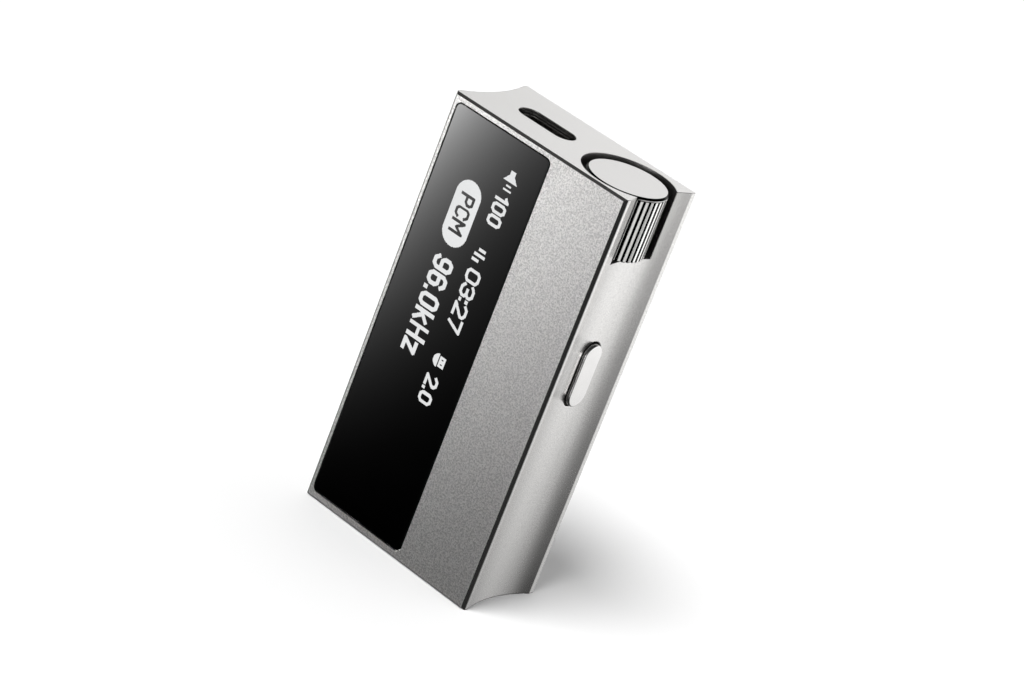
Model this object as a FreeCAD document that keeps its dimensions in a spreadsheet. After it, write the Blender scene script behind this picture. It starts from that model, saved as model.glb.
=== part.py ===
import FreeCAD, Part
import math
import os
import Sketcher

# Pocket digital-to-analogue converter, millimetres. It stands on its socket end: X is across the
# display face, Y runs from the display to the back, Z runs up to the USB end. The origin is the centre
# of the bottom end face.

DIMENSIONS = {
    # outside
    "width": 32.2,
    "depth": 16.4,
    "height": 65.4,
    "side_hollow": 1.15,
    "side_land": 1.0,
    "long_bevel": 0.47,
    "end_bevel": 0.34,
    "back_bevel": 0.2,
    # inside of the housing
    "inner_front": -6.3,
    "cavity_side": 13.28,
    "cavity_low": 3.0,
    "cavity_high": 51.4,
    "bay_right": 1.68,
    "bay_back": 5.0,
    "bay_high": 63.4,
    "bay_overlap": 1.0,
    # back cover and its screws
    "cover_side": 14.28,
    "cover_low": 1.9,
    "cover_high": 54.3,
    "cover_thickness": 1.2,
    "cover_gap": 0.06,
    "cover_corner": 1.2,
    "cover_screw_x": 12.78,
    "cover_screw_low": 3.6,
    "cover_screw_high": 52.7,
    "cover_screw_length": 4.0,
    "cover_screw_head": 1.2,
    "screw_shank": 0.58,
    "screw_hole": 0.6,
    "screw_socket": 0.45,
    "screw_spare": 0.3,
    "screw_sunk": 0.05,
    "screw_clearance": 0.7,
    "boss_width": 2.0,
    "boss_overlap": 0.2,
    "low_boss_height": 2.2,
    "high_boss_height": 2.6,
    "board_play": 0.15,
    # cover glass and display
    "glass_x": -6.2,
    "glass_z": 32.78,
    "glass_width": 17.6,
    "glass_height": 62.86,
    "glass_thickness": 0.75,
    "glass_corner": 0.8,
    "glass_gap": 0.2,
    "glass_sink": 0.02,
    "adhesive_thickness": 0.1,
    "adhesive_inset": 0.15,
    "panel_x": -6.02,
    "panel_z": 38.6,
    "panel_width": 11.6,
    "panel_height": 47.2,
    "panel_thickness": 1.3,
    "panel_gap": 0.3,
    "tape_thickness": 0.1,
    "tape_inset": 0.4,
    "flex_x": -6.12,
    "flex_width": 5.0,
    "flex_thickness": 0.15,
    "flex_low": 17.8,
    "flex_high": 26.4,
    "flex_bend": 1.5,
    "connector_low": 21.0,
    "connector_height": 0.9,
    "connector_width": 5.6,
    "connector_length": 3.2,
    # main board
    "board_front": 1.45,
    "board_thickness": 1.0,
    "board_left": -12.12,
    "board_right": 11.78,
    "board_low": 15.6,
    "board_high": 50.8,
    "board_bay_right": 1.28,
    "board_bay_high": 62.7,
    "notch_gap": 0.3,
    "board_screw_left": -10.92,
    "board_screw_middle": 3.38,
    "board_screw_right": 10.48,
    "board_screw_low_left": 23.4,
    "board_screw_low_right": 25.4,
    "board_screw_high": 46.9,
    "board_boss_half": 1.3,
    "board_boss_behind_panel": -5.3,
    "board_screw_head": 1.0,
    "board_screw_length": 3.0,
    "board_screw_head_height": 0.5,
    "board_screw_head_floor": 0.15,
    # USB receptacle
    "usb_x": -5.27,
    "usb_y": -0.2,
    "usb_opening_width": 9.9,
    "usb_opening_height": 3.9,
    "usb_shell_width": 8.94,
    "usb_shell_height": 3.26,
    "usb_shell_wall": 0.3,
    "usb_shell_low": 57.6,
    "usb_shell_high": 64.7,
    "usb_base_high": 59.2,
    "usb_gasket_low": 63.4,
    "usb_gasket_high": 64.3,
    "usb_gasket_gap": 0.02,
    "usb_tongue_width": 6.69,
    "usb_tongue_thickness": 0.7,
    "usb_tongue_high": 63.7,
    "usb_contact_width": 0.24,
    "usb_contact_pitch": 0.5,
    "usb_contact_thickness": 0.05,
    "usb_contact_low": 60.0,
    "usb_contact_high": 63.3,
    # 3.5 mm socket
    "jack_35_x": -6.9,
    "jack_35_bore": 1.8,
    "jack_35_nose": 2.9,
    "jack_35_width": 6.4,
    "jack_35_depth": 5.6,
    "jack_35_high": 15.2,
    # 4.4 mm socket
    "jack_44_x": 6.3,
    "jack_44_bore": 2.3,
    "jack_44_nose": 3.6,
    "jack_44_width": 8.0,
    "jack_44_depth": 7.2,
    "jack_44_high": 20.6,
    "jack_end_wall": 1.0,
    "jack_nose_gap": 0.02,
    "jack_ring_low": 0.05,
    "jack_ring_high": 0.6,
    "jack_ring_clearance": 0.25,
    "jack_contact_width": 0.8,
    "jack_contact_height": 1.2,
    "jack_contact_reach": 0.2,
    "jack_contact_cover": 0.4,
    "jack_contact_first": 4.6,
    "jack_contact_spare": 1.6,
    # volume wheel and its encoder
    "wheel_x": 10.28,
    "wheel_y": -0.35,
    "wheel_pocket": 7.02,
    "wheel_pocket_low": 55.0,
    "wheel_radius": 6.0,
    "wheel_low": 55.25,
    "wheel_high": 64.7,
    "wheel_edge": 0.15,
    "wheel_counterbore": 4.4,
    "wheel_counterbore_high": 57.6,
    "knurl_count": 42,
    "knurl_depth": 0.45,
    "knurl_mouth": 0.5,
    "knurl_root": 0.24,
    "knurl_overshoot": 0.1,
    "cap_radius": 6.05,
    "cap_top": 65.13,
    "cap_bevel": 0.3,
    "spigot_radius": 4.5,
    "spigot_low": 63.7,
    "shaft_radius": 1.5,
    "shaft_low": 47.0,
    "shaft_high": 62.4,
    "shaft_flat": 1.0,
    "shaft_flat_low": 57.9,
    "bush_running_gap": 0.03,
    "bush_radius": 2.6,
    "bush_hole": 2.65,
    "bush_high": 56.8,
    "nut_across_corners": 7.6,
    "nut_high": 56.1,
    "encoder_side": 5.6,
    "encoder_low": 46.0,
    "encoder_wall": 0.6,
    "encoder_cavity": 2.35,
    "encoder_way_gap": 0.1,
    "rotor_radius": 2.2,
    "rotor_low": 48.0,
    "rotor_high": 49.8,
    "detent_thickness": 0.2,
    "detent_inner_radius": 1.7,
    "detent_bump": 0.6,
    "detent_bump_place": 1.9,
    "detent_bump_width": 0.4,
    "terminal_width": 0.4,
    "terminal_thickness": 0.25,
    "terminal_pitch": 1.1,
    "terminal_offset": 0.4,
    "terminal_length": 1.7,
    # side button and its switch
    "button_y": -0.25,
    "button_z": 36.95,
    "button_slot_width": 4.4,
    "button_slot_height": 10.4,
    "button_width": 3.8,
    "button_height": 9.8,
    "button_top": 15.68,
    "button_round": 0.2,
    "button_flange_width": 5.4,
    "button_flange_height": 11.4,
    "button_flange_thickness": 0.6,
    "button_flange_gap": 0.05,
    "stem_width": 1.2,
    "stem_height": 2.4,
    "stem_low": 10.58,
    "stem_gap": 0.1,
    "switch_left": 8.98,
    "switch_right": 11.58,
    "switch_front": -1.95,
    "switch_height": 4.7,
    "switch_slot_left": 9.98,
    # shield can
    "shield_x": -1.62,
    "shield_z": 35.4,
    "shield_width": 16.0,
    "shield_length": 14.0,
    "shield_rise": 2.15,
    "shield_sheet": 0.2,
    "thermal_pad_width": 10.0,
    "thermal_pad_length": 9.0,
}

doc = FreeCAD.newDocument("pocket_dac")
dims = doc.addObject("Spreadsheet::Sheet", "dims")
for row, (alias, number) in enumerate(DIMENSIONS.items(), start=1):
    dims.set(f"A{row}", alias)
    dims.set(f"B{row}", str(number))
    dims.setAlias(f"B{row}", alias)
doc.recompute()

nodes = []

FRONT = "-dims.depth / 2"
BACK = "dims.depth / 2"
COVER_INNER = "dims.depth / 2 - dims.cover_thickness"
COVER_MIDDLE = "(dims.cover_low + dims.cover_high) / 2"
GLASS_BACK = "-dims.depth / 2 + dims.glass_sink + dims.glass_thickness"
RECESS_FLOOR = GLASS_BACK + " + dims.adhesive_thickness"
PANEL_BACK = GLASS_BACK + " + dims.panel_thickness"
WINDOW_SIZE = ("dims.panel_width + 2 * dims.panel_gap", "dims.panel_height + 2 * dims.panel_gap")
BOARD_BACK = "dims.board_front + dims.board_thickness"
BUTTON_FLANGE_TOP = "dims.cavity_side - dims.button_flange_gap"
BUTTON_FLANGE_LOW = BUTTON_FLANGE_TOP + " - dims.button_flange_thickness"

WHEEL_CENTRE = ("dims.wheel_x", "dims.wheel_y")

COVER_SCREW_PLACES = [
    (side + "dims.cover_screw_x", z)
    for side in ("-", "")
    for z in ("dims.cover_screw_low", "dims.cover_screw_high")
]
LEFT_WALL = "-dims.cavity_side - dims.boss_overlap"
RIGHT_WALL = "dims.cavity_side + dims.boss_overlap"
FRONT_WALL = "dims.inner_front - dims.boss_overlap"
BEHIND_PANEL = "dims.board_boss_behind_panel"
LEFT_BOSS = (LEFT_WALL, "dims.board_screw_left + dims.board_boss_half")
MIDDLE_BOSS = (
    "dims.board_screw_middle - dims.board_boss_half",
    "dims.board_screw_middle + dims.board_boss_half",
)
RIGHT_BOSS = ("dims.board_screw_right - dims.board_boss_half", RIGHT_WALL)
# Board screws: x, z, and the block of the housing that each screw goes into: its x span and its front.
BOARD_SCREW_PLACES = {
    "low_left": ("dims.board_screw_left", "dims.board_screw_low_left", LEFT_BOSS, BEHIND_PANEL),
    "high_left": ("dims.board_screw_left", "dims.board_screw_high", LEFT_BOSS, BEHIND_PANEL),
    "low_right": ("dims.board_screw_right", "dims.board_screw_low_right", RIGHT_BOSS, FRONT_WALL),
    "high_right": ("dims.board_screw_middle", "dims.board_screw_high", MIDDLE_BOSS, FRONT_WALL),
}


def value(expression):
    """The number that an expression of the sheet gives."""
    return float(dims.evalExpression(expression))


def as_node(piece):
    """Record a finished sub-part: its label is the name of its file."""
    nodes.append(piece)
    return piece


# ---------------------------------------------------------------- primitives and booleans


def block(name, x, y, z):
    """A box between the low and high expressions of each axis."""
    box = doc.addObject("Part::Box", name)
    for size, axis, (low, high) in zip(("Length", "Width", "Height"), "xyz", (x, y, z)):
        box.setExpression(size, f"({high}) - ({low})")
        box.setExpression(f"Placement.Base.{axis}", low)
    return box


def centred(middle, size):
    """The low and high expressions of a span given by its middle and size."""
    return f"{middle} - ({size}) / 2", f"{middle} + ({size}) / 2"


TURNS = {
    "x": FreeCAD.Rotation(FreeCAD.Vector(0, 1, 0), 90),
    "y": FreeCAD.Rotation(FreeCAD.Vector(1, 0, 0), -90),
    "z": FreeCAD.Rotation(),
}


def stand_along(solid, axis, centre, low):
    """Turn a solid made along Z to an axis, and put its low end there."""
    solid.Placement = FreeCAD.Placement(FreeCAD.Vector(), TURNS[axis])
    across = [letter for letter in "xyz" if letter != axis]
    for letter, expression in zip(across, centre):
        solid.setExpression(f"Placement.Base.{letter}", expression)
    solid.setExpression(f"Placement.Base.{axis}", low)


def rod(name, radius, centre, low, high, axis="z"):
    """A cylinder: centre holds the two coordinates across its axis, in X, Y, Z order."""
    cylinder = doc.addObject("Part::Cylinder", name)
    cylinder.setExpression("Radius", radius)
    cylinder.setExpression("Height", f"({high}) - ({low})")
    stand_along(cylinder, axis, centre, low)
    return cylinder


def cone(name, low_radius, high_radius, centre, low, high, axis):
    tapered = doc.addObject("Part::Cone", name)
    tapered.setExpression("Radius1", low_radius)
    tapered.setExpression("Radius2", high_radius)
    tapered.setExpression("Height", f"({high}) - ({low})")
    stand_along(tapered, axis, centre, low)
    return tapered


def hexagon(name, corner_radius, centre, low, high, axis):
    prism = doc.addObject("Part::Prism", name)
    prism.Polygon = 6
    prism.setExpression("Circumradius", corner_radius)
    prism.setExpression("Height", f"({high}) - ({low})")
    stand_along(prism, axis, centre, low)
    return prism


def cut(name, base, tool):
    result = doc.addObject("Part::Cut", name)
    result.Base = base
    result.Tool = tool
    return result


def fuse(name, pieces):
    result = doc.addObject("Part::MultiFuse", name)
    result.Shapes = pieces
    return result


def group(name, pieces):
    """Identical pieces that share one node, as separate solids."""
    result = doc.addObject("Part::Compound", name)
    result.Links = pieces
    return result


def tube(name, outer, inner, centre, low, high, axis="z"):
    outside = rod(name + "_outside", outer, centre, low, high, axis)
    inside = rod(name + "_inside", inner, centre, low, high, axis)
    return cut(name, outside, inside)


# ---------------------------------------------------------------- sketches and features

# How each origin plane's own x, y and z stand in the body's frame.
PLANE_AXES = {
    "XY_Plane": lambda x, y, z: (x, y, z),
    "XZ_Plane": lambda x, y, z: (x, z, f"-({y})"),
    "YZ_Plane": lambda x, y, z: (y, z, x),
}


def new_body(name):
    return doc.addObject("PartDesign::Body", name)


def sketch_on(body, name, role, x="0", y="0", z="0"):
    """A sketch parallel to an origin plane, with its own origin at x, y, z of the body."""
    sketch = body.newObject("Sketcher::SketchObject", name)
    plane = next(part for part in body.Origin.OriginFeatures if part.Role == role)
    sketch.AttachmentSupport = (plane, [""])
    sketch.MapMode = "FlatFace"
    for axis, expression in zip("xyz", PLANE_AXES[role](x, y, z)):
        sketch.setExpression(f"AttachmentOffset.Base.{axis}", expression)
    return sketch


def drive(sketch, name, constraint, expression):
    """Add a named dimension to a sketch and bind it to the sheet."""
    index = sketch.addConstraint(constraint)
    sketch.renameConstraint(index, name)
    sketch.setExpression(f"Constraints.{name}", expression)


def line(sketch, start, end):
    segment = Part.LineSegment(FreeCAD.Vector(*start, 0), FreeCAD.Vector(*end, 0))
    return sketch.addGeometry(segment, False)


def closed_lines(sketch, corners):
    """Lines round a closed polygon, joined end to end."""
    count = len(corners)
    lines = [line(sketch, corners[i], corners[(i + 1) % count]) for i in range(count)]
    for i, first in enumerate(lines):
        sketch.addConstraint(Sketcher.Constraint("Coincident", first, 2, lines[(i + 1) % count], 1))
    return lines


def rectangle(sketch, width, height):
    """A rectangle centred on the sketch's origin."""
    half_width, half_height = value(width) / 2, value(height) / 2
    low_left, high_right = (-half_width, -half_height), (half_width, half_height)
    corners = [low_left, (high_right[0], low_left[1]), high_right, (low_left[0], high_right[1])]
    lines = closed_lines(sketch, corners)
    for index, direction in enumerate(("Horizontal", "Vertical", "Horizontal", "Vertical")):
        sketch.addConstraint(Sketcher.Constraint(direction, lines[index]))
    sketch.addConstraint(Sketcher.Constraint("Symmetric", lines[0], 1, lines[2], 1, -1, 1))
    size = Sketcher.Constraint("DistanceX", lines[0], 1, lines[0], 2, 2 * half_width)
    drive(sketch, "width", size, width)
    size = Sketcher.Constraint("DistanceY", lines[1], 1, lines[1], 2, 2 * half_height)
    drive(sketch, "height", size, height)


def rounded_rectangle(sketch, width, height, radius):
    """A rectangle with rounded corners, centred on the sketch's origin."""
    half_width, half_height, corner = value(width) / 2, value(height) / 2, value(radius)
    inner_x, inner_y = half_width - corner, half_height - corner
    sides = [
        line(sketch, (-inner_x, -half_height), (inner_x, -half_height)),
        line(sketch, (half_width, -inner_y), (half_width, inner_y)),
        line(sketch, (inner_x, half_height), (-inner_x, half_height)),
        line(sketch, (-half_width, inner_y), (-half_width, -inner_y)),
    ]
    centres = [(inner_x, -inner_y), (inner_x, inner_y), (-inner_x, inner_y), (-inner_x, -inner_y)]
    quarter = math.pi / 2
    arcs = []
    for index, centre in enumerate(centres):
        full = Part.Circle(FreeCAD.Vector(*centre, 0), FreeCAD.Vector(0, 0, 1), corner)
        start = (index - 1) * quarter
        arc = Part.ArcOfCircle(full, start, start + quarter)
        arcs.append(sketch.addGeometry(arc, False))
    for index, arc in enumerate(arcs):
        sketch.addConstraint(Sketcher.Constraint("Tangent", sides[index], 2, arc, 1))
        sketch.addConstraint(Sketcher.Constraint("Tangent", arc, 2, sides[(index + 1) % 4], 1))
    for index, direction in enumerate(("Horizontal", "Vertical", "Horizontal", "Vertical")):
        sketch.addConstraint(Sketcher.Constraint(direction, sides[index]))
    for arc in arcs[1:]:
        sketch.addConstraint(Sketcher.Constraint("Equal", arcs[0], arc))
    sketch.addConstraint(Sketcher.Constraint("Symmetric", arcs[0], 3, arcs[2], 3, -1, 1))
    drive(sketch, "corner", Sketcher.Constraint("Radius", arcs[0], corner), radius)
    size = Sketcher.Constraint("DistanceX", sides[3], 1, sides[1], 1, 2 * half_width)
    drive(sketch, "width", size, width)
    size = Sketcher.Constraint("DistanceY", sides[0], 1, sides[2], 1, 2 * half_height)
    drive(sketch, "height", size, height)


def obround(sketch, long_size, short_size, upright):
    """A slot with round ends, centred on the sketch's origin, along its y if upright."""
    radius = value(short_size) / 2
    reach = value(long_size) / 2 - radius

    def place(along, across):
        return (-across, along) if upright else (along, across)

    lead = math.pi / 2 if upright else 0
    right = line(sketch, place(-reach, -radius), place(reach, -radius))
    left = line(sketch, place(reach, radius), place(-reach, radius))
    ends = []
    for sign, start in ((1, -math.pi / 2), (-1, math.pi / 2)):
        centre = FreeCAD.Vector(*place(sign * reach, 0), 0)
        full = Part.Circle(centre, FreeCAD.Vector(0, 0, 1), radius)
        arc = Part.ArcOfCircle(full, start + lead, start + lead + math.pi)
        ends.append(sketch.addGeometry(arc, False))
    sketch.addConstraint(Sketcher.Constraint("Tangent", right, 2, ends[0], 1))
    sketch.addConstraint(Sketcher.Constraint("Tangent", ends[0], 2, left, 1))
    sketch.addConstraint(Sketcher.Constraint("Tangent", left, 2, ends[1], 1))
    sketch.addConstraint(Sketcher.Constraint("Tangent", ends[1], 2, right, 1))
    sketch.addConstraint(Sketcher.Constraint("Vertical" if upright else "Horizontal", right))
    sketch.addConstraint(Sketcher.Constraint("Symmetric", ends[0], 3, ends[1], 3, -1, 1))
    drive(sketch, "radius", Sketcher.Constraint("Radius", ends[0], radius), f"({short_size}) / 2")
    along = "DistanceY" if upright else "DistanceX"
    size = Sketcher.Constraint(along, ends[1], 3, ends[0], 3, 2 * reach)
    drive(sketch, "reach", size, f"({long_size}) - ({short_size})")


def circle(sketch, radius):
    """A circle centred on the sketch's origin."""
    round_edge = Part.Circle(FreeCAD.Vector(), FreeCAD.Vector(0, 0, 1), value(radius))
    index = sketch.addGeometry(round_edge, False)
    sketch.addConstraint(Sketcher.Constraint("Coincident", index, 3, -1, 1))
    drive(sketch, "radius", Sketcher.Constraint("Radius", index, value(radius)), radius)


def pad(body, sketch, length, backwards=False):
    """Add the sketch's area: towards +Z, -Y or +X of the body, or the other way if backwards."""
    feature = body.newObject("PartDesign::Pad", sketch.Name + "_pad")
    feature.Profile = sketch
    feature.Reversed = backwards
    feature.setExpression("Length", length)
    doc.recompute()
    return feature


def pocket(body, sketch, length, backwards=False):
    """Cut the sketch's area: towards -Z, +Y or -X of the body, or the other way if backwards."""
    volume_before = body.Tip.Shape.Volume
    feature = body.newObject("PartDesign::Pocket", sketch.Name + "_pocket")
    feature.Profile = sketch
    feature.Reversed = backwards
    feature.setExpression("Length", length)
    doc.recompute()
    if feature.Shape.Volume >= volume_before:
        raise RuntimeError(feature.Name + " cuts nothing")
    return feature


def bevel(body, feature, name, is_edge, size):
    """Chamfer the edges of a feature that a test picks out."""
    edges = [f"Edge{number}" for number, edge in enumerate(feature.Shape.Edges, 1) if is_edge(edge)]
    chamfer = body.newObject("PartDesign::Chamfer", name)
    chamfer.Base = (feature, edges)
    chamfer.setExpression("Size", size)
    doc.recompute()
    return chamfer


def lies_at(edge, axis, place):
    """Whether all of an edge lies at one value of an axis."""
    box = edge.BoundBox
    spans = {"x": (box.XMin, box.XMax), "y": (box.YMin, box.YMax), "z": (box.ZMin, box.ZMax)}
    low, high = spans[axis]
    return abs(low - place) < 1e-4 and abs(high - place) < 1e-4


# ---------------------------------------------------------------- housing


def outline_with_hollow_sides(sketch):
    """The cross-section: flat front and back, and a hollow arc between two short lands each side."""
    half_width, half_depth = value("dims.width") / 2, value("dims.depth") / 2
    land, hollow = value("dims.side_land"), value("dims.side_hollow")
    shoulder = half_depth - land
    front = line(sketch, (-half_width, -half_depth), (half_width, -half_depth))
    right_front = line(sketch, (half_width, -half_depth), (half_width, -shoulder))
    right_back = line(sketch, (half_width, shoulder), (half_width, half_depth))
    back = line(sketch, (half_width, half_depth), (-half_width, half_depth))
    left_back = line(sketch, (-half_width, half_depth), (-half_width, shoulder))
    left_front = line(sketch, (-half_width, -shoulder), (-half_width, -half_depth))

    def hollow_arc(side):
        ends = [FreeCAD.Vector(side * half_width, side * y, 0) for y in (shoulder, -shoulder)]
        middle = FreeCAD.Vector(side * (half_width - hollow), 0, 0)
        return sketch.addGeometry(Part.Arc(ends[0], middle, ends[1]), False)

    right, left = hollow_arc(1), hollow_arc(-1)

    def joined(first, first_end, second, second_end):
        constraint = Sketcher.Constraint("Coincident", first, first_end, second, second_end)
        sketch.addConstraint(constraint)

    def arc_end(arc, x, y):
        start = sketch.getPoint(arc, 1)
        return 1 if abs(start.x - x) + abs(start.y - y) < 1e-6 else 2

    joined(front, 2, right_front, 1)
    joined(right_front, 2, right, arc_end(right, half_width, -shoulder))
    joined(right, arc_end(right, half_width, shoulder), right_back, 1)
    joined(right_back, 2, back, 1)
    joined(back, 2, left_back, 1)
    joined(left_back, 2, left, arc_end(left, -half_width, shoulder))
    joined(left, arc_end(left, -half_width, -shoulder), left_front, 1)
    joined(left_front, 2, front, 1)
    for flat in (front, back):
        sketch.addConstraint(Sketcher.Constraint("Horizontal", flat))
    for upright in (right_front, right_back, left_back, left_front):
        sketch.addConstraint(Sketcher.Constraint("Vertical", upright))
    for other in (right_back, left_back, left_front):
        sketch.addConstraint(Sketcher.Constraint("Equal", right_front, other))
    sketch.addConstraint(Sketcher.Constraint("Symmetric", front, 1, back, 1, -1, 1))
    sketch.addConstraint(Sketcher.Constraint("Equal", right, left))
    size = Sketcher.Constraint("DistanceX", front, 1, front, 2, 2 * half_width)
    drive(sketch, "width", size, "dims.width")
    size = Sketcher.Constraint("DistanceY", front, 2, back, 1, 2 * half_depth)
    drive(sketch, "depth", size, "dims.depth")
    drive(sketch, "land", Sketcher.Constraint("Distance", right_front, land), "dims.side_land")
    chord = 2 * shoulder
    radius = (chord**2 / 4 + hollow**2) / (2 * hollow)
    chord_text = "(dims.depth - 2 * dims.side_land)"
    radius_text = f"({chord_text} ^ 2 / 4 + dims.side_hollow ^ 2) / (2 * dims.side_hollow)"
    drive(sketch, "hollow_radius", Sketcher.Constraint("Radius", right, radius), radius_text)


def add_boss(body, name, x, z, y):
    """A solid block inside the housing for a screw, from low to high along each axis."""
    middle_x, middle_z = (f"(({low}) + ({high})) / 2" for low, high in (x, z))
    sketch = sketch_on(body, name, "XZ_Plane", middle_x, y[1], middle_z)
    rectangle(sketch, f"({x[1]}) - ({x[0]})", f"({z[1]}) - ({z[0]})")
    pad(body, sketch, f"({y[1]}) - ({y[0]})")


def hole(body, name, role, x, y, z, radius, length, backwards=False):
    sketch = sketch_on(body, name, role, x, y, z)
    circle(sketch, radius)
    return pocket(body, sketch, length, backwards)


def make_housing():
    body = new_body("housing")
    outline = sketch_on(body, "outline", "XY_Plane")
    outline_with_hollow_sides(outline)
    blank = pad(body, outline, "dims.height")
    front, back = value(FRONT), value(BACK)
    half_width, height = value("dims.width") / 2, value("dims.height")
    long_bevels = bevel(
        body, blank, "long_bevels",
        lambda edge: lies_at(edge, "y", front)
        and (lies_at(edge, "x", -half_width) or lies_at(edge, "x", half_width)),
        "dims.long_bevel",
    )
    end_bevels = bevel(
        body, long_bevels, "end_bevels",
        lambda edge: lies_at(edge, "y", front)
        and (lies_at(edge, "z", 0) or lies_at(edge, "z", height)),
        "dims.end_bevel",
    )
    back_bevels = bevel(
        body, end_bevels, "back_bevels", lambda edge: lies_at(edge, "y", back), "dims.back_bevel"
    )
    body.Tip = back_bevels

    recess = sketch_on(body, "glass_recess", "XZ_Plane", "dims.glass_x", FRONT, "dims.glass_z")
    rounded_rectangle(
        recess,
        "dims.glass_width + 2 * dims.glass_gap",
        "dims.glass_height + 2 * dims.glass_gap",
        "dims.glass_corner + dims.glass_gap",
    )
    pocket(body, recess, f"{RECESS_FLOOR} - ({FRONT})")

    window = sketch_on(body, "display_window", "XZ_Plane", "dims.panel_x", FRONT, "dims.panel_z")
    rectangle(window, *WINDOW_SIZE)
    pocket(body, window, f"dims.inner_front - ({FRONT})")

    cover_seat = sketch_on(body, "cover_seat", "XZ_Plane", "0", BACK, COVER_MIDDLE)
    rounded_rectangle(
        cover_seat, "2 * dims.cover_side", "dims.cover_high - dims.cover_low", "dims.cover_corner"
    )
    pocket(body, cover_seat, "dims.cover_thickness", backwards=True)

    cavity_middle = "(dims.cavity_low + dims.cavity_high) / 2"
    cavity = sketch_on(body, "cavity", "XZ_Plane", "0", BACK, cavity_middle)
    rectangle(cavity, "2 * dims.cavity_side", "dims.cavity_high - dims.cavity_low")
    pocket(body, cavity, f"{BACK} - dims.inner_front", backwards=True)

    bay_low = "dims.cavity_high - dims.bay_overlap"
    bay = sketch_on(
        body, "usb_bay", "XZ_Plane",
        "(dims.bay_right - dims.cavity_side) / 2", "dims.bay_back", f"({bay_low} + dims.bay_high) / 2",
    )
    rectangle(bay, "dims.bay_right + dims.cavity_side", f"dims.bay_high - ({bay_low})")
    pocket(body, bay, "dims.bay_back - dims.inner_front", backwards=True)

    wheel_pocket = sketch_on(body, "wheel_room", "XY_Plane", *WHEEL_CENTRE, "dims.height")
    circle(wheel_pocket, "dims.wheel_pocket")
    pocket(body, wheel_pocket, "dims.height - dims.wheel_pocket_low")
    hole(
        body, "bush_passage", "XY_Plane", *WHEEL_CENTRE, "dims.wheel_pocket_low",
        "dims.bush_hole", "dims.wheel_pocket_low - dims.cavity_high",
    )

    usb_opening = sketch_on(body, "usb_opening", "XY_Plane", "dims.usb_x", "dims.usb_y", "dims.height")
    obround(usb_opening, "dims.usb_opening_width", "dims.usb_opening_height", upright=False)
    pocket(body, usb_opening, "dims.height - dims.bay_high")

    for jack in ("jack_35", "jack_44"):
        hole(
            body, jack + "_opening", "XY_Plane", f"dims.{jack}_x", "0", "dims.cavity_low",
            f"dims.{jack}_nose + dims.jack_nose_gap", "dims.cavity_low",
        )

    button_slot = sketch_on(
        body, "button_slot", "YZ_Plane", "dims.width / 2", "dims.button_y", "dims.button_z"
    )
    obround(button_slot, "dims.button_slot_height", "dims.button_slot_width", upright=True)
    pocket(body, button_slot, "dims.width / 2 - dims.cavity_side")

    reach = "dims.cavity_side - dims.boss_width"
    left, right = (LEFT_WALL, f"-({reach})"), (reach, RIGHT_WALL)
    low_z = ("dims.cavity_low - dims.boss_overlap", "dims.cavity_low + dims.low_boss_height")
    for side, x in (("left", left), ("right", right)):
        add_boss(body, f"low_{side}_boss", x, low_z, (FRONT_WALL, COVER_INNER))
    high_y = (BOARD_BACK + " + dims.board_play", "dims.bay_back + dims.boss_overlap")
    high_z = ("dims.cavity_high", "dims.cavity_high + dims.high_boss_height")
    add_boss(body, "high_left_boss", left, high_z, high_y)
    for index, (x, z) in enumerate(COVER_SCREW_PLACES):
        hole(
            body, f"cover_screw_hole_{index}", "XZ_Plane", x, COVER_INNER, z,
            "dims.screw_hole", "dims.cover_screw_length - dims.cover_thickness + dims.screw_spare",
            backwards=True,
        )
    for name, (x, z, boss_x, boss_front) in BOARD_SCREW_PLACES.items():
        boss_z = (f"{z} - dims.board_boss_half", f"{z} + dims.board_boss_half")
        add_boss(body, f"{name}_board_boss", boss_x, boss_z, (boss_front, "dims.board_front"))
        hole(
            body, f"{name}_board_hole", "XZ_Plane", x, "dims.board_front", z,
            "dims.screw_hole", "dims.board_screw_length", backwards=True,
        )
    return as_node(body)


def make_back_cover():
    body = new_body("back_cover")
    plate = sketch_on(body, "cover_plate", "XZ_Plane", "0", BACK, COVER_MIDDLE)
    rounded_rectangle(
        plate,
        "2 * (dims.cover_side - dims.cover_gap)",
        "dims.cover_high - dims.cover_low - 2 * dims.cover_gap",
        "dims.cover_corner - dims.cover_gap",
    )
    pad(body, plate, "dims.cover_thickness")
    for index, (x, z) in enumerate(COVER_SCREW_PLACES):
        hole(
            body, f"cover_hole_{index}", "XZ_Plane", x, COVER_INNER, z,
            "dims.screw_clearance", "dims.cover_thickness",
        )
    back = value(BACK)
    countersinks = bevel(
        body, body.Tip, "countersinks",
        lambda edge: lies_at(edge, "y", back) and edge.BoundBox.DiagonalLength < 3 and edge.Closed,
        "dims.cover_screw_head - dims.screw_hole",
    )
    body.Tip = countersinks
    return as_node(body)


def make_cover_screws():
    screws = []
    for index, (x, z) in enumerate(COVER_SCREW_PLACES):
        name = f"cover_screw_{index}"
        top = BACK + " - dims.screw_sunk"
        head_height = "dims.cover_screw_head - dims.screw_shank"
        head_low = f"{top} - ({head_height})"
        tip = f"{BACK} - dims.cover_screw_length"
        shank = rod(name + "_shank", "dims.screw_shank", (x, z), tip, head_low, "y")
        head = cone(
            name + "_head", "dims.screw_shank", "dims.cover_screw_head", (x, z), head_low, top, "y"
        )
        blank = fuse(name + "_blank", [shank, head])
        socket = hexagon(
            name + "_socket", "dims.screw_socket", (x, z), f"{top} - dims.screw_socket", BACK, "y"
        )
        screws.append(cut(name, blank, socket))
    as_node(group("cover_screws", screws))


# ---------------------------------------------------------------- glass and display


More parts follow.
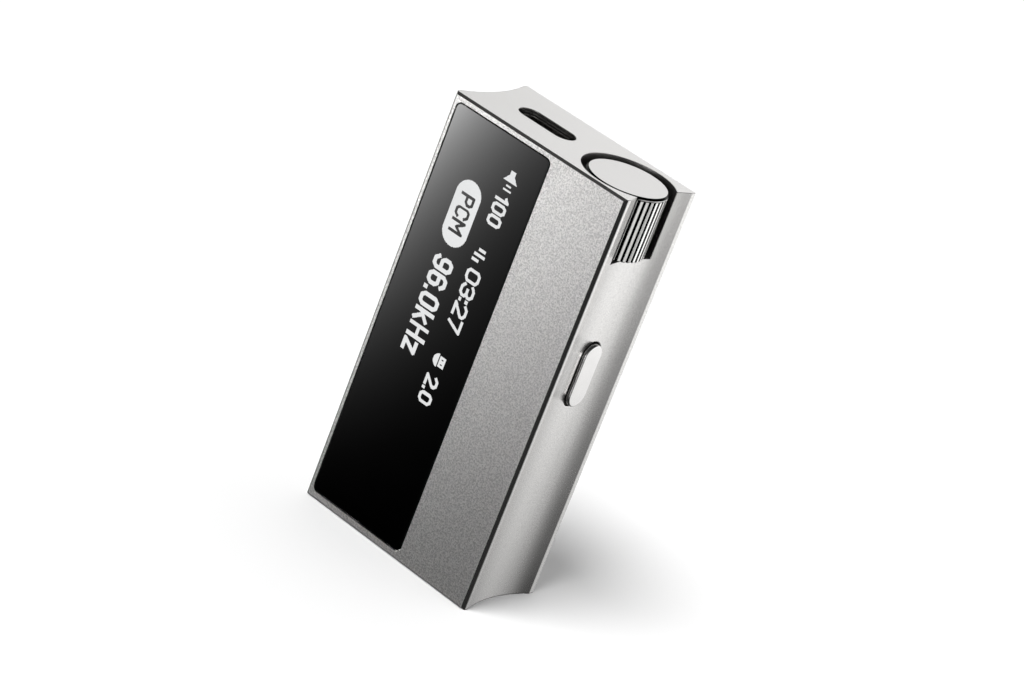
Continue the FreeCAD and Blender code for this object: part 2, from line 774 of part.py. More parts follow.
def make_glass():
    body = new_body("cover_glass")
    front = "-dims.depth / 2 + dims.glass_sink"
    plate = sketch_on(body, "glass_plate", "XZ_Plane", "dims.glass_x", front, "dims.glass_z")
    rounded_rectangle(plate, "dims.glass_width", "dims.glass_height", "dims.glass_corner")
    pad(body, plate, "dims.glass_thickness", backwards=True)
    as_node(body)

    frame = new_body("glass_adhesive")
    ring = sketch_on(frame, "adhesive_sheet", "XZ_Plane", "dims.glass_x", GLASS_BACK, "dims.glass_z")
    rounded_rectangle(
        ring,
        "dims.glass_width - 2 * dims.adhesive_inset",
        "dims.glass_height - 2 * dims.adhesive_inset",
        "dims.glass_corner",
    )
    pad(frame, ring, "dims.adhesive_thickness", backwards=True)
    window = sketch_on(frame, "adhesive_window", "XZ_Plane", "dims.panel_x", GLASS_BACK, "dims.panel_z")
    rectangle(window, *WINDOW_SIZE)
    pocket(frame, window, "dims.adhesive_thickness")
    as_node(frame)


def make_display():
    panel_x = centred("dims.panel_x", "dims.panel_width")
    panel_z = centred("dims.panel_z", "dims.panel_height")
    as_node(block("display_panel", panel_x, (GLASS_BACK, PANEL_BACK), panel_z))
    tape_back = PANEL_BACK + " + dims.tape_thickness"
    as_node(
        block(
            "display_shield_tape",
            centred("dims.panel_x", "dims.panel_width - 2 * dims.tape_inset"),
            (PANEL_BACK, tape_back),
            centred("dims.panel_z", "dims.panel_height - 2 * dims.tape_inset"),
        )
    )
    connector_front = "dims.board_front - dims.connector_height"
    connector_x = centred("dims.flex_x", "dims.connector_width")
    connector_y = (connector_front, "dims.board_front")
    connector_z = ("dims.connector_low", "dims.connector_low + dims.connector_length")
    as_node(block("display_connector", connector_x, connector_y, connector_z))

    # The flexible tail is a thin U: down the back of the panel, across, and up onto its connector.
    width = centred("dims.flex_x", "dims.flex_width")
    outside_y, outside_z = (tape_back, connector_front), ("dims.flex_low", "dims.flex_high")
    outside = block("flex_outside", width, outside_y, outside_z)
    inside = block(
        "flex_inside", width,
        (f"{tape_back} + dims.flex_thickness", f"{connector_front} - dims.flex_thickness"),
        ("dims.flex_low + dims.flex_thickness", "dims.flex_high + 1"),
    )
    doc.recompute()
    rounded = []
    inner_bend = "dims.flex_bend - dims.flex_thickness"
    for piece, radius in ((outside, "dims.flex_bend"), (inside, inner_bend)):
        low = piece.Shape.BoundBox.ZMin
        fillet = doc.addObject("Part::Fillet", piece.Name + "_round")
        fillet.Base = piece
        size = value(radius)
        fillet.Edges = [
            (number, size, size)
            for number, edge in enumerate(piece.Shape.Edges, 1)
            if lies_at(edge, "z", low) and edge.BoundBox.YLength < 1e-6
        ]
        rounded.append(fillet)
    as_node(cut("display_flex", *rounded))


# ---------------------------------------------------------------- main board and what it carries


def make_board():
    body = new_body("main_board")
    main_area = sketch_on(
        body, "board_main", "XZ_Plane", "(dims.board_left + dims.board_right) / 2",
        BOARD_BACK, "(dims.board_low + dims.board_high) / 2",
    )
    rectangle(main_area, "dims.board_right - dims.board_left", "dims.board_high - dims.board_low")
    pad(body, main_area, "dims.board_thickness")
    upper_low = "dims.board_high - dims.bay_overlap"
    upper = sketch_on(
        body, "board_usb_end", "XZ_Plane", "(dims.board_left + dims.board_bay_right) / 2",
        BOARD_BACK, f"({upper_low} + dims.board_bay_high) / 2",
    )
    rectangle(upper, "dims.board_bay_right - dims.board_left", f"dims.board_bay_high - ({upper_low})")
    pad(body, upper, "dims.board_thickness")

    jack_notch = sketch_on(
        body, "jack_notch", "XZ_Plane", "dims.jack_44_x", "dims.board_front", "dims.board_low"
    )
    rectangle(
        jack_notch,
        "dims.jack_44_width + 2 * dims.notch_gap",
        "2 * (dims.jack_44_high - dims.board_low + dims.notch_gap)",
    )
    pocket(body, jack_notch, "dims.board_thickness")
    encoder_notch = sketch_on(
        body, "encoder_notch", "XZ_Plane", "dims.board_right", "dims.board_front", "dims.board_high"
    )
    rectangle(
        encoder_notch,
        "2 * (dims.board_right - dims.wheel_x + dims.encoder_side / 2 + dims.notch_gap)",
        "2 * (dims.board_high - dims.encoder_low + dims.notch_gap)",
    )
    pocket(body, encoder_notch, "dims.board_thickness")
    for name, (x, z, _, _) in BOARD_SCREW_PLACES.items():
        hole(
            body, f"{name}_clearance", "XZ_Plane", x, "dims.board_front", z,
            "dims.screw_hole", "dims.board_thickness",
        )
    as_node(body)

    screws = []
    for name, (x, z, _, _) in BOARD_SCREW_PLACES.items():
        tip = "dims.board_front - dims.board_screw_length + dims.screw_spare"
        shank = rod(f"{name}_shank", "dims.screw_shank", (x, z), tip, BOARD_BACK, "y")
        head_top = BOARD_BACK + " + dims.board_screw_head_height"
        head = rod(f"{name}_head", "dims.board_screw_head", (x, z), BOARD_BACK, head_top, "y")
        socket_low = BOARD_BACK + " + dims.board_screw_head_floor"
        socket = hexagon(f"{name}_socket", "dims.screw_socket", (x, z), socket_low, head_top, "y")
        screws.append(cut(f"{name}_screw", fuse(f"{name}_blank", [shank, head]), socket))
    as_node(group("board_screws", screws))


def on_board(name, side, x, z, width, length, rise):
    """A component on a face of the board, centred at x and z from the board's low left corner."""
    if side == "front":
        y = (f"dims.board_front - {rise}", "dims.board_front")
    else:
        y = (BOARD_BACK, f"{BOARD_BACK} + {rise}")
    across = centred(f"dims.board_left + {x}", str(width))
    along = centred(f"dims.board_low + {z}", str(length))
    return block(name, across, y, along)


# Components with one or two large packages: face of the board, width, length, rise, and places (x, z).
PACKAGES = {
    "controller_chip": ("front", 6.0, 6.0, 0.9, [(6.5, 19.8)]),
    "usb_bridge_chip": ("front", 5.0, 5.0, 0.8, [(6.5, 35.8)]),
    "dac_chips": ("back", 6.2, 6.2, 0.95, [(6.5, 19.8), (14.5, 19.8)]),
    "amplifier_chips": ("front", 4.0, 4.0, 0.85, [(13.0, 9.8), (18.1, 9.8)]),
    "oscillators": ("front", 3.2, 2.5, 0.9, [(13.1, 17.8), (13.1, 21.8)]),
    "power_regulators": ("back", 3.0, 3.0, 0.75, [(4.5, 33.3), (9.0, 33.3)]),
    "inductors": ("back", 3.0, 3.0, 1.6, [(4.5, 37.8), (9.0, 37.8), (12.7, 31.8)]),
    "film_capacitors": (
        "front", 3.0, 2.4, 1.9, [(17.7, 15.3), (17.7, 18.8), (17.7, 22.3), (17.7, 25.8)],
    ),
}
SMALL_CAPACITOR = (1.0, 0.5, 0.5)
SMALL_CAPACITOR_ROWS = [
    ("front", 3.0, 25.8),
    ("front", 3.0, 14.8),
    ("back", 3.5, 29.4),
    ("back", 3.5, 10.2),
]
SMALL_CAPACITORS_IN_ROW = 5
SMALL_CAPACITOR_PITCH = 1.9


def make_components():
    for name, (side, width, length, rise, places) in PACKAGES.items():
        pieces = [
            on_board(f"{name}_{index}", side, x, z, width, length, rise)
            for index, (x, z) in enumerate(places)
        ]
        as_node(group(name, pieces))
    capacitors = []
    for row_index, (side, first_x, z) in enumerate(SMALL_CAPACITOR_ROWS):
        for index in range(SMALL_CAPACITORS_IN_ROW):
            x = round(first_x + index * SMALL_CAPACITOR_PITCH, 2)
            capacitors.append(on_board(f"capacitor_{row_index}_{index}", side, x, z, *SMALL_CAPACITOR))
    as_node(group("ceramic_capacitors", capacitors))

    outer_x = centred("dims.shield_x", "dims.shield_width")
    outer_z = centred("dims.shield_z", "dims.shield_length")
    top = BOARD_BACK + " + dims.shield_rise"
    outside = block("shield_outside", outer_x, (BOARD_BACK, top), outer_z)
    inside = block(
        "shield_inside",
        centred("dims.shield_x", "dims.shield_width - 2 * dims.shield_sheet"),
        (BOARD_BACK, top + " - dims.shield_sheet"),
        centred("dims.shield_z", "dims.shield_length - 2 * dims.shield_sheet"),
    )
    as_node(cut("shield_can", outside, inside))
    as_node(
        block(
            "thermal_pad",
            centred("dims.shield_x", "dims.thermal_pad_width"),
            (top, COVER_INNER),
            centred("dims.shield_z", "dims.thermal_pad_length"),
        )
    )


# ---------------------------------------------------------------- USB receptacle


def obround_body(name, long_size, short_size, low, high, hollow_long=None, hollow_short=None):
    """An upright obround bar at the USB port, with an obround hole through it if one is given."""
    body = new_body(name)
    outer = sketch_on(body, name + "_outer", "XY_Plane", "dims.usb_x", "dims.usb_y", low)
    obround(outer, long_size, short_size, upright=False)
    pad(body, outer, f"({high}) - ({low})")
    if hollow_long:
        inner = sketch_on(body, name + "_inner", "XY_Plane", "dims.usb_x", "dims.usb_y", high)
        obround(inner, hollow_long, hollow_short, upright=False)
        pocket(body, inner, f"({high}) - ({low})")
    return as_node(body)


def make_usb():
    inner_width = "dims.usb_shell_width - 2 * dims.usb_shell_wall"
    inner_height = "dims.usb_shell_height - 2 * dims.usb_shell_wall"
    obround_body(
        "usb_shell", "dims.usb_shell_width", "dims.usb_shell_height",
        "dims.usb_shell_low", "dims.usb_shell_high", inner_width, inner_height,
    )
    obround_body("usb_base", inner_width, inner_height, "dims.usb_shell_low", "dims.usb_base_high")
    gap = "2 * dims.usb_gasket_gap"
    obround_body(
        "usb_gasket", f"dims.usb_opening_width - {gap}", f"dims.usb_opening_height - {gap}",
        "dims.usb_gasket_low", "dims.usb_gasket_high",
        f"dims.usb_shell_width + {gap}", f"dims.usb_shell_height + {gap}",
    )
    tongue_y = centred("dims.usb_y", "dims.usb_tongue_thickness")
    tongue_z = ("dims.usb_base_high", "dims.usb_tongue_high")
    as_node(block("usb_tongue", centred("dims.usb_x", "dims.usb_tongue_width"), tongue_y, tongue_z))

    contacts = []
    per_side = 12
    faces = {
        "front": (f"{tongue_y[0]} - dims.usb_contact_thickness", tongue_y[0]),
        "back": (tongue_y[1], f"{tongue_y[1]} + dims.usb_contact_thickness"),
    }
    for side, y in faces.items():
        for index in range(per_side):
            x = f"dims.usb_x + {index - (per_side - 1) / 2} * dims.usb_contact_pitch"
            contacts.append(
                block(
                    f"usb_contact_{side}_{index}", centred(x, "dims.usb_contact_width"), y,
                    ("dims.usb_contact_low", "dims.usb_contact_high"),
                )
            )
    as_node(group("usb_contacts", contacts))


# ---------------------------------------------------------------- headphone sockets


def make_jack(jack, contact_count):
    """A socket: a moulded body with a round nose, a metal ring at its mouth, and spring contacts."""
    x, bore, nose = f"dims.{jack}_x", f"dims.{jack}_bore", f"dims.{jack}_nose"
    centre = (x, "0")
    high = f"dims.{jack}_high"
    room = block(
        jack + "_room",
        centred(x, f"dims.{jack}_width"), centred("0", f"dims.{jack}_depth"), ("dims.cavity_low", high),
    )
    snout = rod(jack + "_snout", nose, centre, "dims.jack_ring_high", "dims.cavity_low")
    blank = fuse(jack + "_blank", [room, snout])
    plug_way = rod(jack + "_plug_way", bore, centre, "0", f"{high} - dims.jack_end_wall")

    # Spring contacts stand in windows of the body, on alternate sides, one above the other.
    last = f"{high} - dims.jack_end_wall - dims.jack_contact_spare"
    span = f"({last} - dims.jack_contact_first) / {contact_count - 1}"
    springs, windows = [], []
    for index in range(contact_count):
        z_middle = f"dims.jack_contact_first + {index} * {span}"
        z = centred(z_middle, "dims.jack_contact_height")
        outer = f"dims.{jack}_depth / 2 - dims.jack_contact_cover"
        reach = f"{bore} - dims.jack_contact_reach"
        y = (reach, outer) if index % 2 else (f"-({outer})", f"-({reach})")
        spring = block(f"{jack}_spring_{index}", centred(x, "dims.jack_contact_width"), y, z)
        window = block(f"{jack}_window_{index}", centred(x, "dims.jack_contact_width"), y, z)
        springs.append(spring)
        windows.append(window)
    as_node(cut(jack + "_body", blank, fuse(jack + "_openings", [plug_way] + windows)))
    as_node(group(jack + "_contacts", springs))
    ring_bore = f"{bore} + dims.jack_ring_clearance"
    as_node(tube(jack + "_ring", nose, ring_bore, centre, "dims.jack_ring_low", "dims.jack_ring_high"))


# ---------------------------------------------------------------- volume wheel and encoder


def make_encoder_shaft():
    shaft = rod("shaft_bar", "dims.shaft_radius", WHEEL_CENTRE, "dims.shaft_low", "dims.shaft_high")
    flat = block(
        "shaft_flat_cut",
        ("dims.wheel_x + dims.shaft_flat", "dims.wheel_x + dims.shaft_radius + 1"),
        centred("dims.wheel_y", "2 * dims.shaft_radius + 1"),
        ("dims.shaft_flat_low", "dims.shaft_high + 1"),
    )
    return as_node(cut("encoder_shaft", shaft, flat))


def groove_outline(sketch):
    """A groove across the wheel's rim: wide at the mouth, narrow at the root, symmetric about x."""
    mouth_x = value("dims.wheel_radius + dims.knurl_overshoot")
    root_x = value("dims.wheel_radius - dims.knurl_depth")
    mouth, root = value("dims.knurl_mouth") / 2, value("dims.knurl_root") / 2
    corners = [(root_x, -root), (mouth_x, -mouth), (mouth_x, mouth), (root_x, root)]
    low_flank, mouth_line, high_flank, root_line = closed_lines(sketch, corners)
    x_axis = -1
    for upright in (mouth_line, root_line):
        sketch.addConstraint(Sketcher.Constraint("Symmetric", upright, 1, upright, 2, x_axis))
    size = Sketcher.Constraint("DistanceY", mouth_line, 1, mouth_line, 2, 2 * mouth)
    drive(sketch, "mouth", size, "dims.knurl_mouth")
    size = Sketcher.Constraint("DistanceY", root_line, 2, root_line, 1, 2 * root)
    drive(sketch, "root", size, "dims.knurl_root")
    place = Sketcher.Constraint("DistanceX", -1, 1, mouth_line, 1, mouth_x)
    drive(sketch, "mouth_x", place, "dims.wheel_radius + dims.knurl_overshoot")
    place = Sketcher.Constraint("DistanceX", -1, 1, root_line, 1, root_x)
    drive(sketch, "root_x", place, "dims.wheel_radius - dims.knurl_depth")


def make_wheel(shaft):
    """The knurled wheel is drawn round its own origin, then moved onto the shaft's axis."""
    body = new_body("wheel_rim")
    disc = sketch_on(body, "wheel_disc", "XY_Plane", z="dims.wheel_low")
    circle(disc, "dims.wheel_radius")
    blank = pad(body, disc, "dims.wheel_high - dims.wheel_low")
    ends = bevel(body, blank, "wheel_edges", lambda edge: edge.Closed, "dims.wheel_edge")
    body.Tip = ends
    counterbore = sketch_on(body, "nut_room", "XY_Plane", z="dims.wheel_low")
    circle(counterbore, "dims.wheel_counterbore")
    pocket(body, counterbore, "dims.wheel_counterbore_high - dims.wheel_low", backwards=True)
    seat = sketch_on(body, "cap_seat", "XY_Plane", z="dims.wheel_high")
    circle(seat, "dims.spigot_radius")
    pocket(body, seat, "dims.wheel_high - dims.spigot_low")
    groove = sketch_on(body, "knurl_groove", "XY_Plane", z="dims.wheel_high")
    groove_outline(groove)
    first_groove = pocket(body, groove, "dims.wheel_high - dims.wheel_low")
    knurl = body.newObject("PartDesign::PolarPattern", "knurl")
    knurl.Originals = [first_groove]
    z_axis = next(part for part in body.Origin.OriginFeatures if part.Role == "Z_Axis")
    knurl.Axis = (z_axis, [""])
    knurl.Angle = 360
    knurl.setExpression("Occurrences", "dims.knurl_count")
    body.Tip = knurl
    for axis, place in zip("xy", WHEEL_CENTRE):
        body.setExpression(f"Placement.Base.{axis}", place)
    doc.recompute()
    as_node(cut("volume_wheel", body, shaft))


def make_wheel_cap():
    body = new_body("wheel_cap")
    disc = sketch_on(body, "cap_disc", "XY_Plane", z="dims.wheel_high")
    circle(disc, "dims.cap_radius")
    plate = pad(body, disc, "dims.cap_top - dims.wheel_high")
    top = value("dims.cap_top")
    body.Tip = bevel(
        body, plate, "cap_rim", lambda edge: edge.Closed and lies_at(edge, "z", top), "dims.cap_bevel"
    )
    spigot = sketch_on(body, "cap_spigot", "XY_Plane", z="dims.spigot_low")
    circle(spigot, "dims.spigot_radius")
    pad(body, spigot, "dims.wheel_high - dims.spigot_low")
    for axis, place in zip("xy", WHEEL_CENTRE):
        body.setExpression(f"Placement.Base.{axis}", place)
    as_node(body)


def make_encoder():
    rotor_span = ("dims.rotor_low", "dims.rotor_high")
    bush_span = ("dims.cavity_high", "dims.bush_high")
    bush_bore = "dims.shaft_radius + dims.bush_running_gap"
    as_node(tube("encoder_rotor", "dims.rotor_radius", "dims.shaft_radius", WHEEL_CENTRE, *rotor_span))
    as_node(tube("encoder_bush", "dims.bush_radius", bush_bore, WHEEL_CENTRE, *bush_span))
    nut_span = ("dims.wheel_pocket_low", "dims.nut_high")
    nut_blank = hexagon("nut_blank", "dims.nut_across_corners / 2", WHEEL_CENTRE, *nut_span, "z")
    nut_bore = rod("nut_bore", "dims.bush_radius", WHEEL_CENTRE, *nut_span)
    as_node(cut("encoder_nut", nut_blank, nut_bore))

    sides = [centred(place, "dims.encoder_side") for place in WHEEL_CENTRE]
    case = block("encoder_case", sides[0], sides[1], ("dims.encoder_low", "dims.cavity_high"))
    floor = "dims.encoder_low + dims.encoder_wall"
    ceiling = "dims.cavity_high - dims.encoder_wall"
    room = rod("encoder_room", "dims.encoder_cavity", WHEEL_CENTRE, floor, ceiling)
    way_radius = "dims.shaft_radius + dims.encoder_way_gap"
    way_up = rod("encoder_way_up", way_radius, WHEEL_CENTRE, floor, "dims.cavity_high")
    as_node(cut("encoder_body", case, fuse("encoder_hollow", [room, way_up])))

    leaf_top = floor + " + dims.detent_thickness"
    leaf = tube(
        "detent_leaf", "dims.rotor_radius", "dims.detent_inner_radius", WHEEL_CENTRE, floor, leaf_top
    )
    bumps = [
        block(
            f"detent_bump_{side}",
            centred(f"dims.wheel_x {side} dims.detent_bump_place", "dims.detent_bump_width"),
            centred("dims.wheel_y", "dims.detent_bump"),
            (floor, f"{leaf_top} + dims.detent_bump"),
        )
        for side in ("-", "+")
    ]
    as_node(fuse("encoder_detent_spring", [leaf] + bumps))

    terminals = []
    for step in (-1, 0, 1):
        x = f"dims.wheel_x - dims.terminal_offset + {step} * dims.terminal_pitch"
        terminals.append(
            block(
                f"encoder_terminal_{step + 1}", centred(x, "dims.terminal_width"),
                ("dims.board_front - dims.terminal_thickness", "dims.board_front"),
                ("dims.encoder_low - dims.terminal_length", "dims.encoder_low"),
            )
        )
    as_node(group("encoder_terminals", terminals))


# ---------------------------------------------------------------- side button and switch


def make_button():
    body = new_body("side_button")
    place = ("dims.button_y", "dims.button_z")
    flange = sketch_on(body, "button_flange", "YZ_Plane", BUTTON_FLANGE_LOW, *place)
    obround(flange, "dims.button_flange_height", "dims.button_flange_width", upright=True)
    pad(body, flange, "dims.button_flange_thickness")
    cap = sketch_on(body, "button_cap", "YZ_Plane", BUTTON_FLANGE_TOP, *place)
    obround(cap, "dims.button_height", "dims.button_width", upright=True)
    raised = pad(body, cap, f"dims.button_top - ({BUTTON_FLANGE_TOP})")
    top = value("dims.button_top")
    edges = enumerate(raised.Shape.Edges, 1)
    rim = [f"Edge{number}" for number, edge in edges if lies_at(edge, "x", top)]
    fillet = body.newObject("PartDesign::Fillet", "button_rim")
    fillet.Base = (raised, rim)
    fillet.setExpression("Radius", "dims.button_round")
    body.Tip = fillet
    as_node(body)

    as_node(
        block(
            "switch_stem", ("dims.stem_low", BUTTON_FLANGE_LOW),
            centred("dims.button_y", "dims.stem_width"), centred("dims.button_z", "dims.stem_height"),
        )
    )
    case = block(
        "switch_case",
        ("dims.switch_left", "dims.switch_right"), ("dims.switch_front", "dims.board_front"),
        centred("dims.button_z", "dims.switch_height"),
    )
    way = block(
        "switch_way", ("dims.switch_slot_left", "dims.switch_right + 0.5"),
        centred("dims.button_y", "dims.stem_width + 2 * dims.stem_gap"),
        centred("dims.button_z", "dims.stem_height + 2 * dims.stem_gap"),
    )
    as_node(cut("switch_body", case, way))


make_housing()
make_back_cover()
make_cover_screws()
make_glass()
make_display()
make_board()
make_components()
make_usb()
make_jack("jack_35", 4)
make_jack("jack_44", 5)
make_wheel(make_encoder_shaft())
make_wheel_cap()
make_encoder()
make_button()
doc.recompute()

for item in doc.Objects:
    if "Invalid" in item.State or "Error" in item.State:
        raise RuntimeError(f"{item.Name} failed to build")
os.makedirs("parts", exist_ok=True)
for node in nodes:
    shape = node.Shape
    if shape.isNull() or not shape.isValid() or not shape.Solids:
        raise RuntimeError(f"{node.Label} is not a valid solid")
    shape.exportStep(f"parts/{node.Label}.step")
print(len(nodes), "sub-parts")
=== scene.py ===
"""Looks of a pocket digital-to-analogue converter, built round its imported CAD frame.

Metres, in the frame of the CAD model: +Z runs along the body towards the USB end, -Y comes out of the
display face and +X points to the volume wheel and the side button.
"""

import math

import bpy
from mathutils import Matrix, Vector


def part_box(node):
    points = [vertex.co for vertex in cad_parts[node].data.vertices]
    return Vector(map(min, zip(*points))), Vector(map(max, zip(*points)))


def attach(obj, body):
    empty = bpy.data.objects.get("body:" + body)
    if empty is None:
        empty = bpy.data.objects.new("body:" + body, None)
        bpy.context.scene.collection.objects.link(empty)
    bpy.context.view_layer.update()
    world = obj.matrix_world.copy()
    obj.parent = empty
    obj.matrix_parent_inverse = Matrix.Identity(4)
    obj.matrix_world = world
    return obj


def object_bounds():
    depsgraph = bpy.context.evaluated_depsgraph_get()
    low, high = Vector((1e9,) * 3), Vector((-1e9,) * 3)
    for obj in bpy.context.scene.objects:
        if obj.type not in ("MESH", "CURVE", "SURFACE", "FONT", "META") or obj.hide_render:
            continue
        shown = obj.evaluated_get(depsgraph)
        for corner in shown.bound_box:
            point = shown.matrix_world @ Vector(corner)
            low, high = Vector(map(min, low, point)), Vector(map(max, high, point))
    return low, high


MM = 0.001

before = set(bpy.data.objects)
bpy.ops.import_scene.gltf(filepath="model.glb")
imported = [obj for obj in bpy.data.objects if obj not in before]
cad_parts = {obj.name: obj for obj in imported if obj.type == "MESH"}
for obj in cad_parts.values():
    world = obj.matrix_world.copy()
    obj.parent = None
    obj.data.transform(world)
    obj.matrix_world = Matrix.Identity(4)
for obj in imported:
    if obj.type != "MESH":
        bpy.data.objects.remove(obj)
cad_low, cad_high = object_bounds()
scene = bpy.context.scene


# ---------------------------------------------------------------- camera

# The camera looks at the middle of the body from the front right and from above, and is rolled, so that the
# body leans to the right in the picture.
AIM = Vector((1.55, 1.10, 34.36)) * MM
CAMERA_DISTANCE = 481.1 * MM
CAMERA_AZIMUTH = math.radians(32.134)
CAMERA_ELEVATION = math.radians(21.767)
CAMERA_ROLL = math.radians(21.48)
CAMERA_LENS = 120.08
SENSOR_WIDTH = 36.0


def direction(azimuth, elevation):
    """The unit vector from the body to a place at this azimuth, counted from -Y towards +X."""
    level = math.cos(elevation)
    return Vector((level * math.sin(azimuth), -level * math.cos(azimuth), math.sin(elevation)))


def make_camera():
    camera = bpy.data.objects.new("camera", bpy.data.cameras.new("camera"))
    camera.data.lens = CAMERA_LENS
    camera.data.sensor_width = SENSOR_WIDTH
    back = direction(CAMERA_AZIMUTH, CAMERA_ELEVATION)
    turn = back.to_track_quat("Z", "Y").to_matrix().to_4x4()
    place = Matrix.Translation(AIM + back * CAMERA_DISTANCE)
    camera.matrix_world = place @ turn @ Matrix.Rotation(CAMERA_ROLL, 4, "Z")
    scene.collection.objects.link(camera)
    scene.camera = camera


make_camera()


# ---------------------------------------------------------------- node materials


class Graph:
    """Short calls for adding nodes to one node tree."""

    def __init__(self, tree):
        self.nodes = tree.nodes
        self.links = tree.links

    def add(self, kind, inputs=(), **settings):
        """A new node. inputs gives its sockets by name or number, each as a value or as another output."""
        node = self.nodes.new("ShaderNode" + kind)
        for name, value in settings.items():
            setattr(node, name, value)
        for socket, value in dict(inputs).items():
            if isinstance(value, bpy.types.NodeSocket):
                self.links.new(value, node.inputs[socket])
            else:
                node.inputs[socket].default_value = value
        return node

    def maths(self, operation, *values):
        return self.add("Math", dict(enumerate(values)), operation=operation).outputs[0]

    def span(self, factor, low, high, to_low=0.0, to_high=1.0, smooth=True):
        """Maps factor from low..high to to_low..to_high, clamped."""
        inputs = {
            "Value": factor,
            "From Min": low,
            "From Max": high,
            "To Min": to_low,
            "To Max": to_high,
        }
        kind = "SMOOTHSTEP" if smooth else "LINEAR"
        return self.add("MapRange", inputs, interpolation_type=kind).outputs["Result"]

    def mix(self, factor, first, second):
        """Blends two colours."""
        inputs = {"Factor": factor, 6: first, 7: second}
        return self.add("Mix", inputs, data_type="RGBA").outputs[2]

    def blend(self, factor, first, second):
        """Blends two numbers."""
        inputs = {0: factor, 2: first, 3: second}
        return self.add("Mix", inputs, data_type="FLOAT").outputs[0]


class Finish(Graph):
    """A material with a Principled shader, whose textures lie on the object's own coordinates."""

    def __init__(self, name, **constants):
        self.material = bpy.data.materials.new(name)
        self.material.use_nodes = True
        super().__init__(self.material.node_tree)
        self.shader = self.nodes["Principled BSDF"]
        self.place = self.add("TexCoord").outputs["Object"]
        for socket, value in constants.items():
            self.shader.inputs[socket.replace("_", " ")].default_value = value

    def feed(self, **sockets):
        for socket, output in sockets.items():
            self.links.new(output, self.shader.inputs[socket.replace("_", " ")])

    def stretched(self, stretch):
        """The coordinates divided by stretch on each axis, so that grain runs along its largest share."""
        scale = [1 / share for share in stretch]
        return self.add("Mapping", {"Vector": self.place, "Scale": scale}).outputs[0]

    def noise(self, size, detail=2.0, roughness=0.5, stretch=None):
        """Cloudy noise whose features are about size across."""
        place = self.stretched(stretch) if stretch else self.place
        inputs = {"Vector": place, "Scale": 1 / size, "Detail": detail, "Roughness": roughness}
        return self.add("TexNoise", inputs).outputs["Fac"]

    def cells(self, size, feature="F1"):
        """Distance inside cells about size across."""
        inputs = {"Vector": self.place, "Scale": 1 / size}
        return self.add("TexVoronoi", inputs, feature=feature).outputs["Distance"]

    def rounded_edges(self, radius):
        """A normal that turns the sharp edges over with this radius, so that they catch the light."""
        return self.add("Bevel", {"Radius": radius}, samples=8).outputs["Normal"]

    def from_wheel_axis(self):
        """The distance from the axis of the volume wheel."""
        low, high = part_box("volume_wheel")
        axis = (low + high) / 2
        from_axis = {0: self.place, 1: (axis.x, axis.y, 0)}
        moved = self.add("VectorMath", from_axis, operation="SUBTRACT").outputs[0]
        flat = self.add("VectorMath", {0: moved, 1: (1, 1, 0)}, operation="MULTIPLY").outputs[0]
        return self.add("VectorMath", {0: flat}, operation="LENGTH").outputs["Value"]

    def bump(self, height, depth, normal=None, strength=1.0):
        inputs = {"Height": height, "Distance": depth, "Strength": strength}
        if normal:
            inputs["Normal"] = normal
        return self.add("Bump", inputs).outputs["Normal"]

    def tint(self, factor, dark, light):
        return self.mix(factor, (*dark, 1), (*light, 1))


BODY_DARK = (0.62, 0.61, 0.60)
BODY_LIGHT = (1.0, 0.985, 0.97)
BODY_SATIN = (0.88, 0.87, 0.855)
BODY_SHADE = (0.66, 0.65, 0.64)
BODY_POLISHED = (0.82, 0.80, 0.785)
GRAIN = 0.25 * MM
FINE_GRAIN = 0.15 * MM
EDGE_ROUND = 0.05 * MM
OUTER_EDGE_ROUND = 0.22 * MM
BEVEL_DEPTH = 0.5 * MM
FACE_MARGIN = 0.012 * MM
POCKET_RADIUS = 7.04 * MM
POCKET_FLOOR = 55.0 * MM
POCKET_ROUGHNESS = 0.45


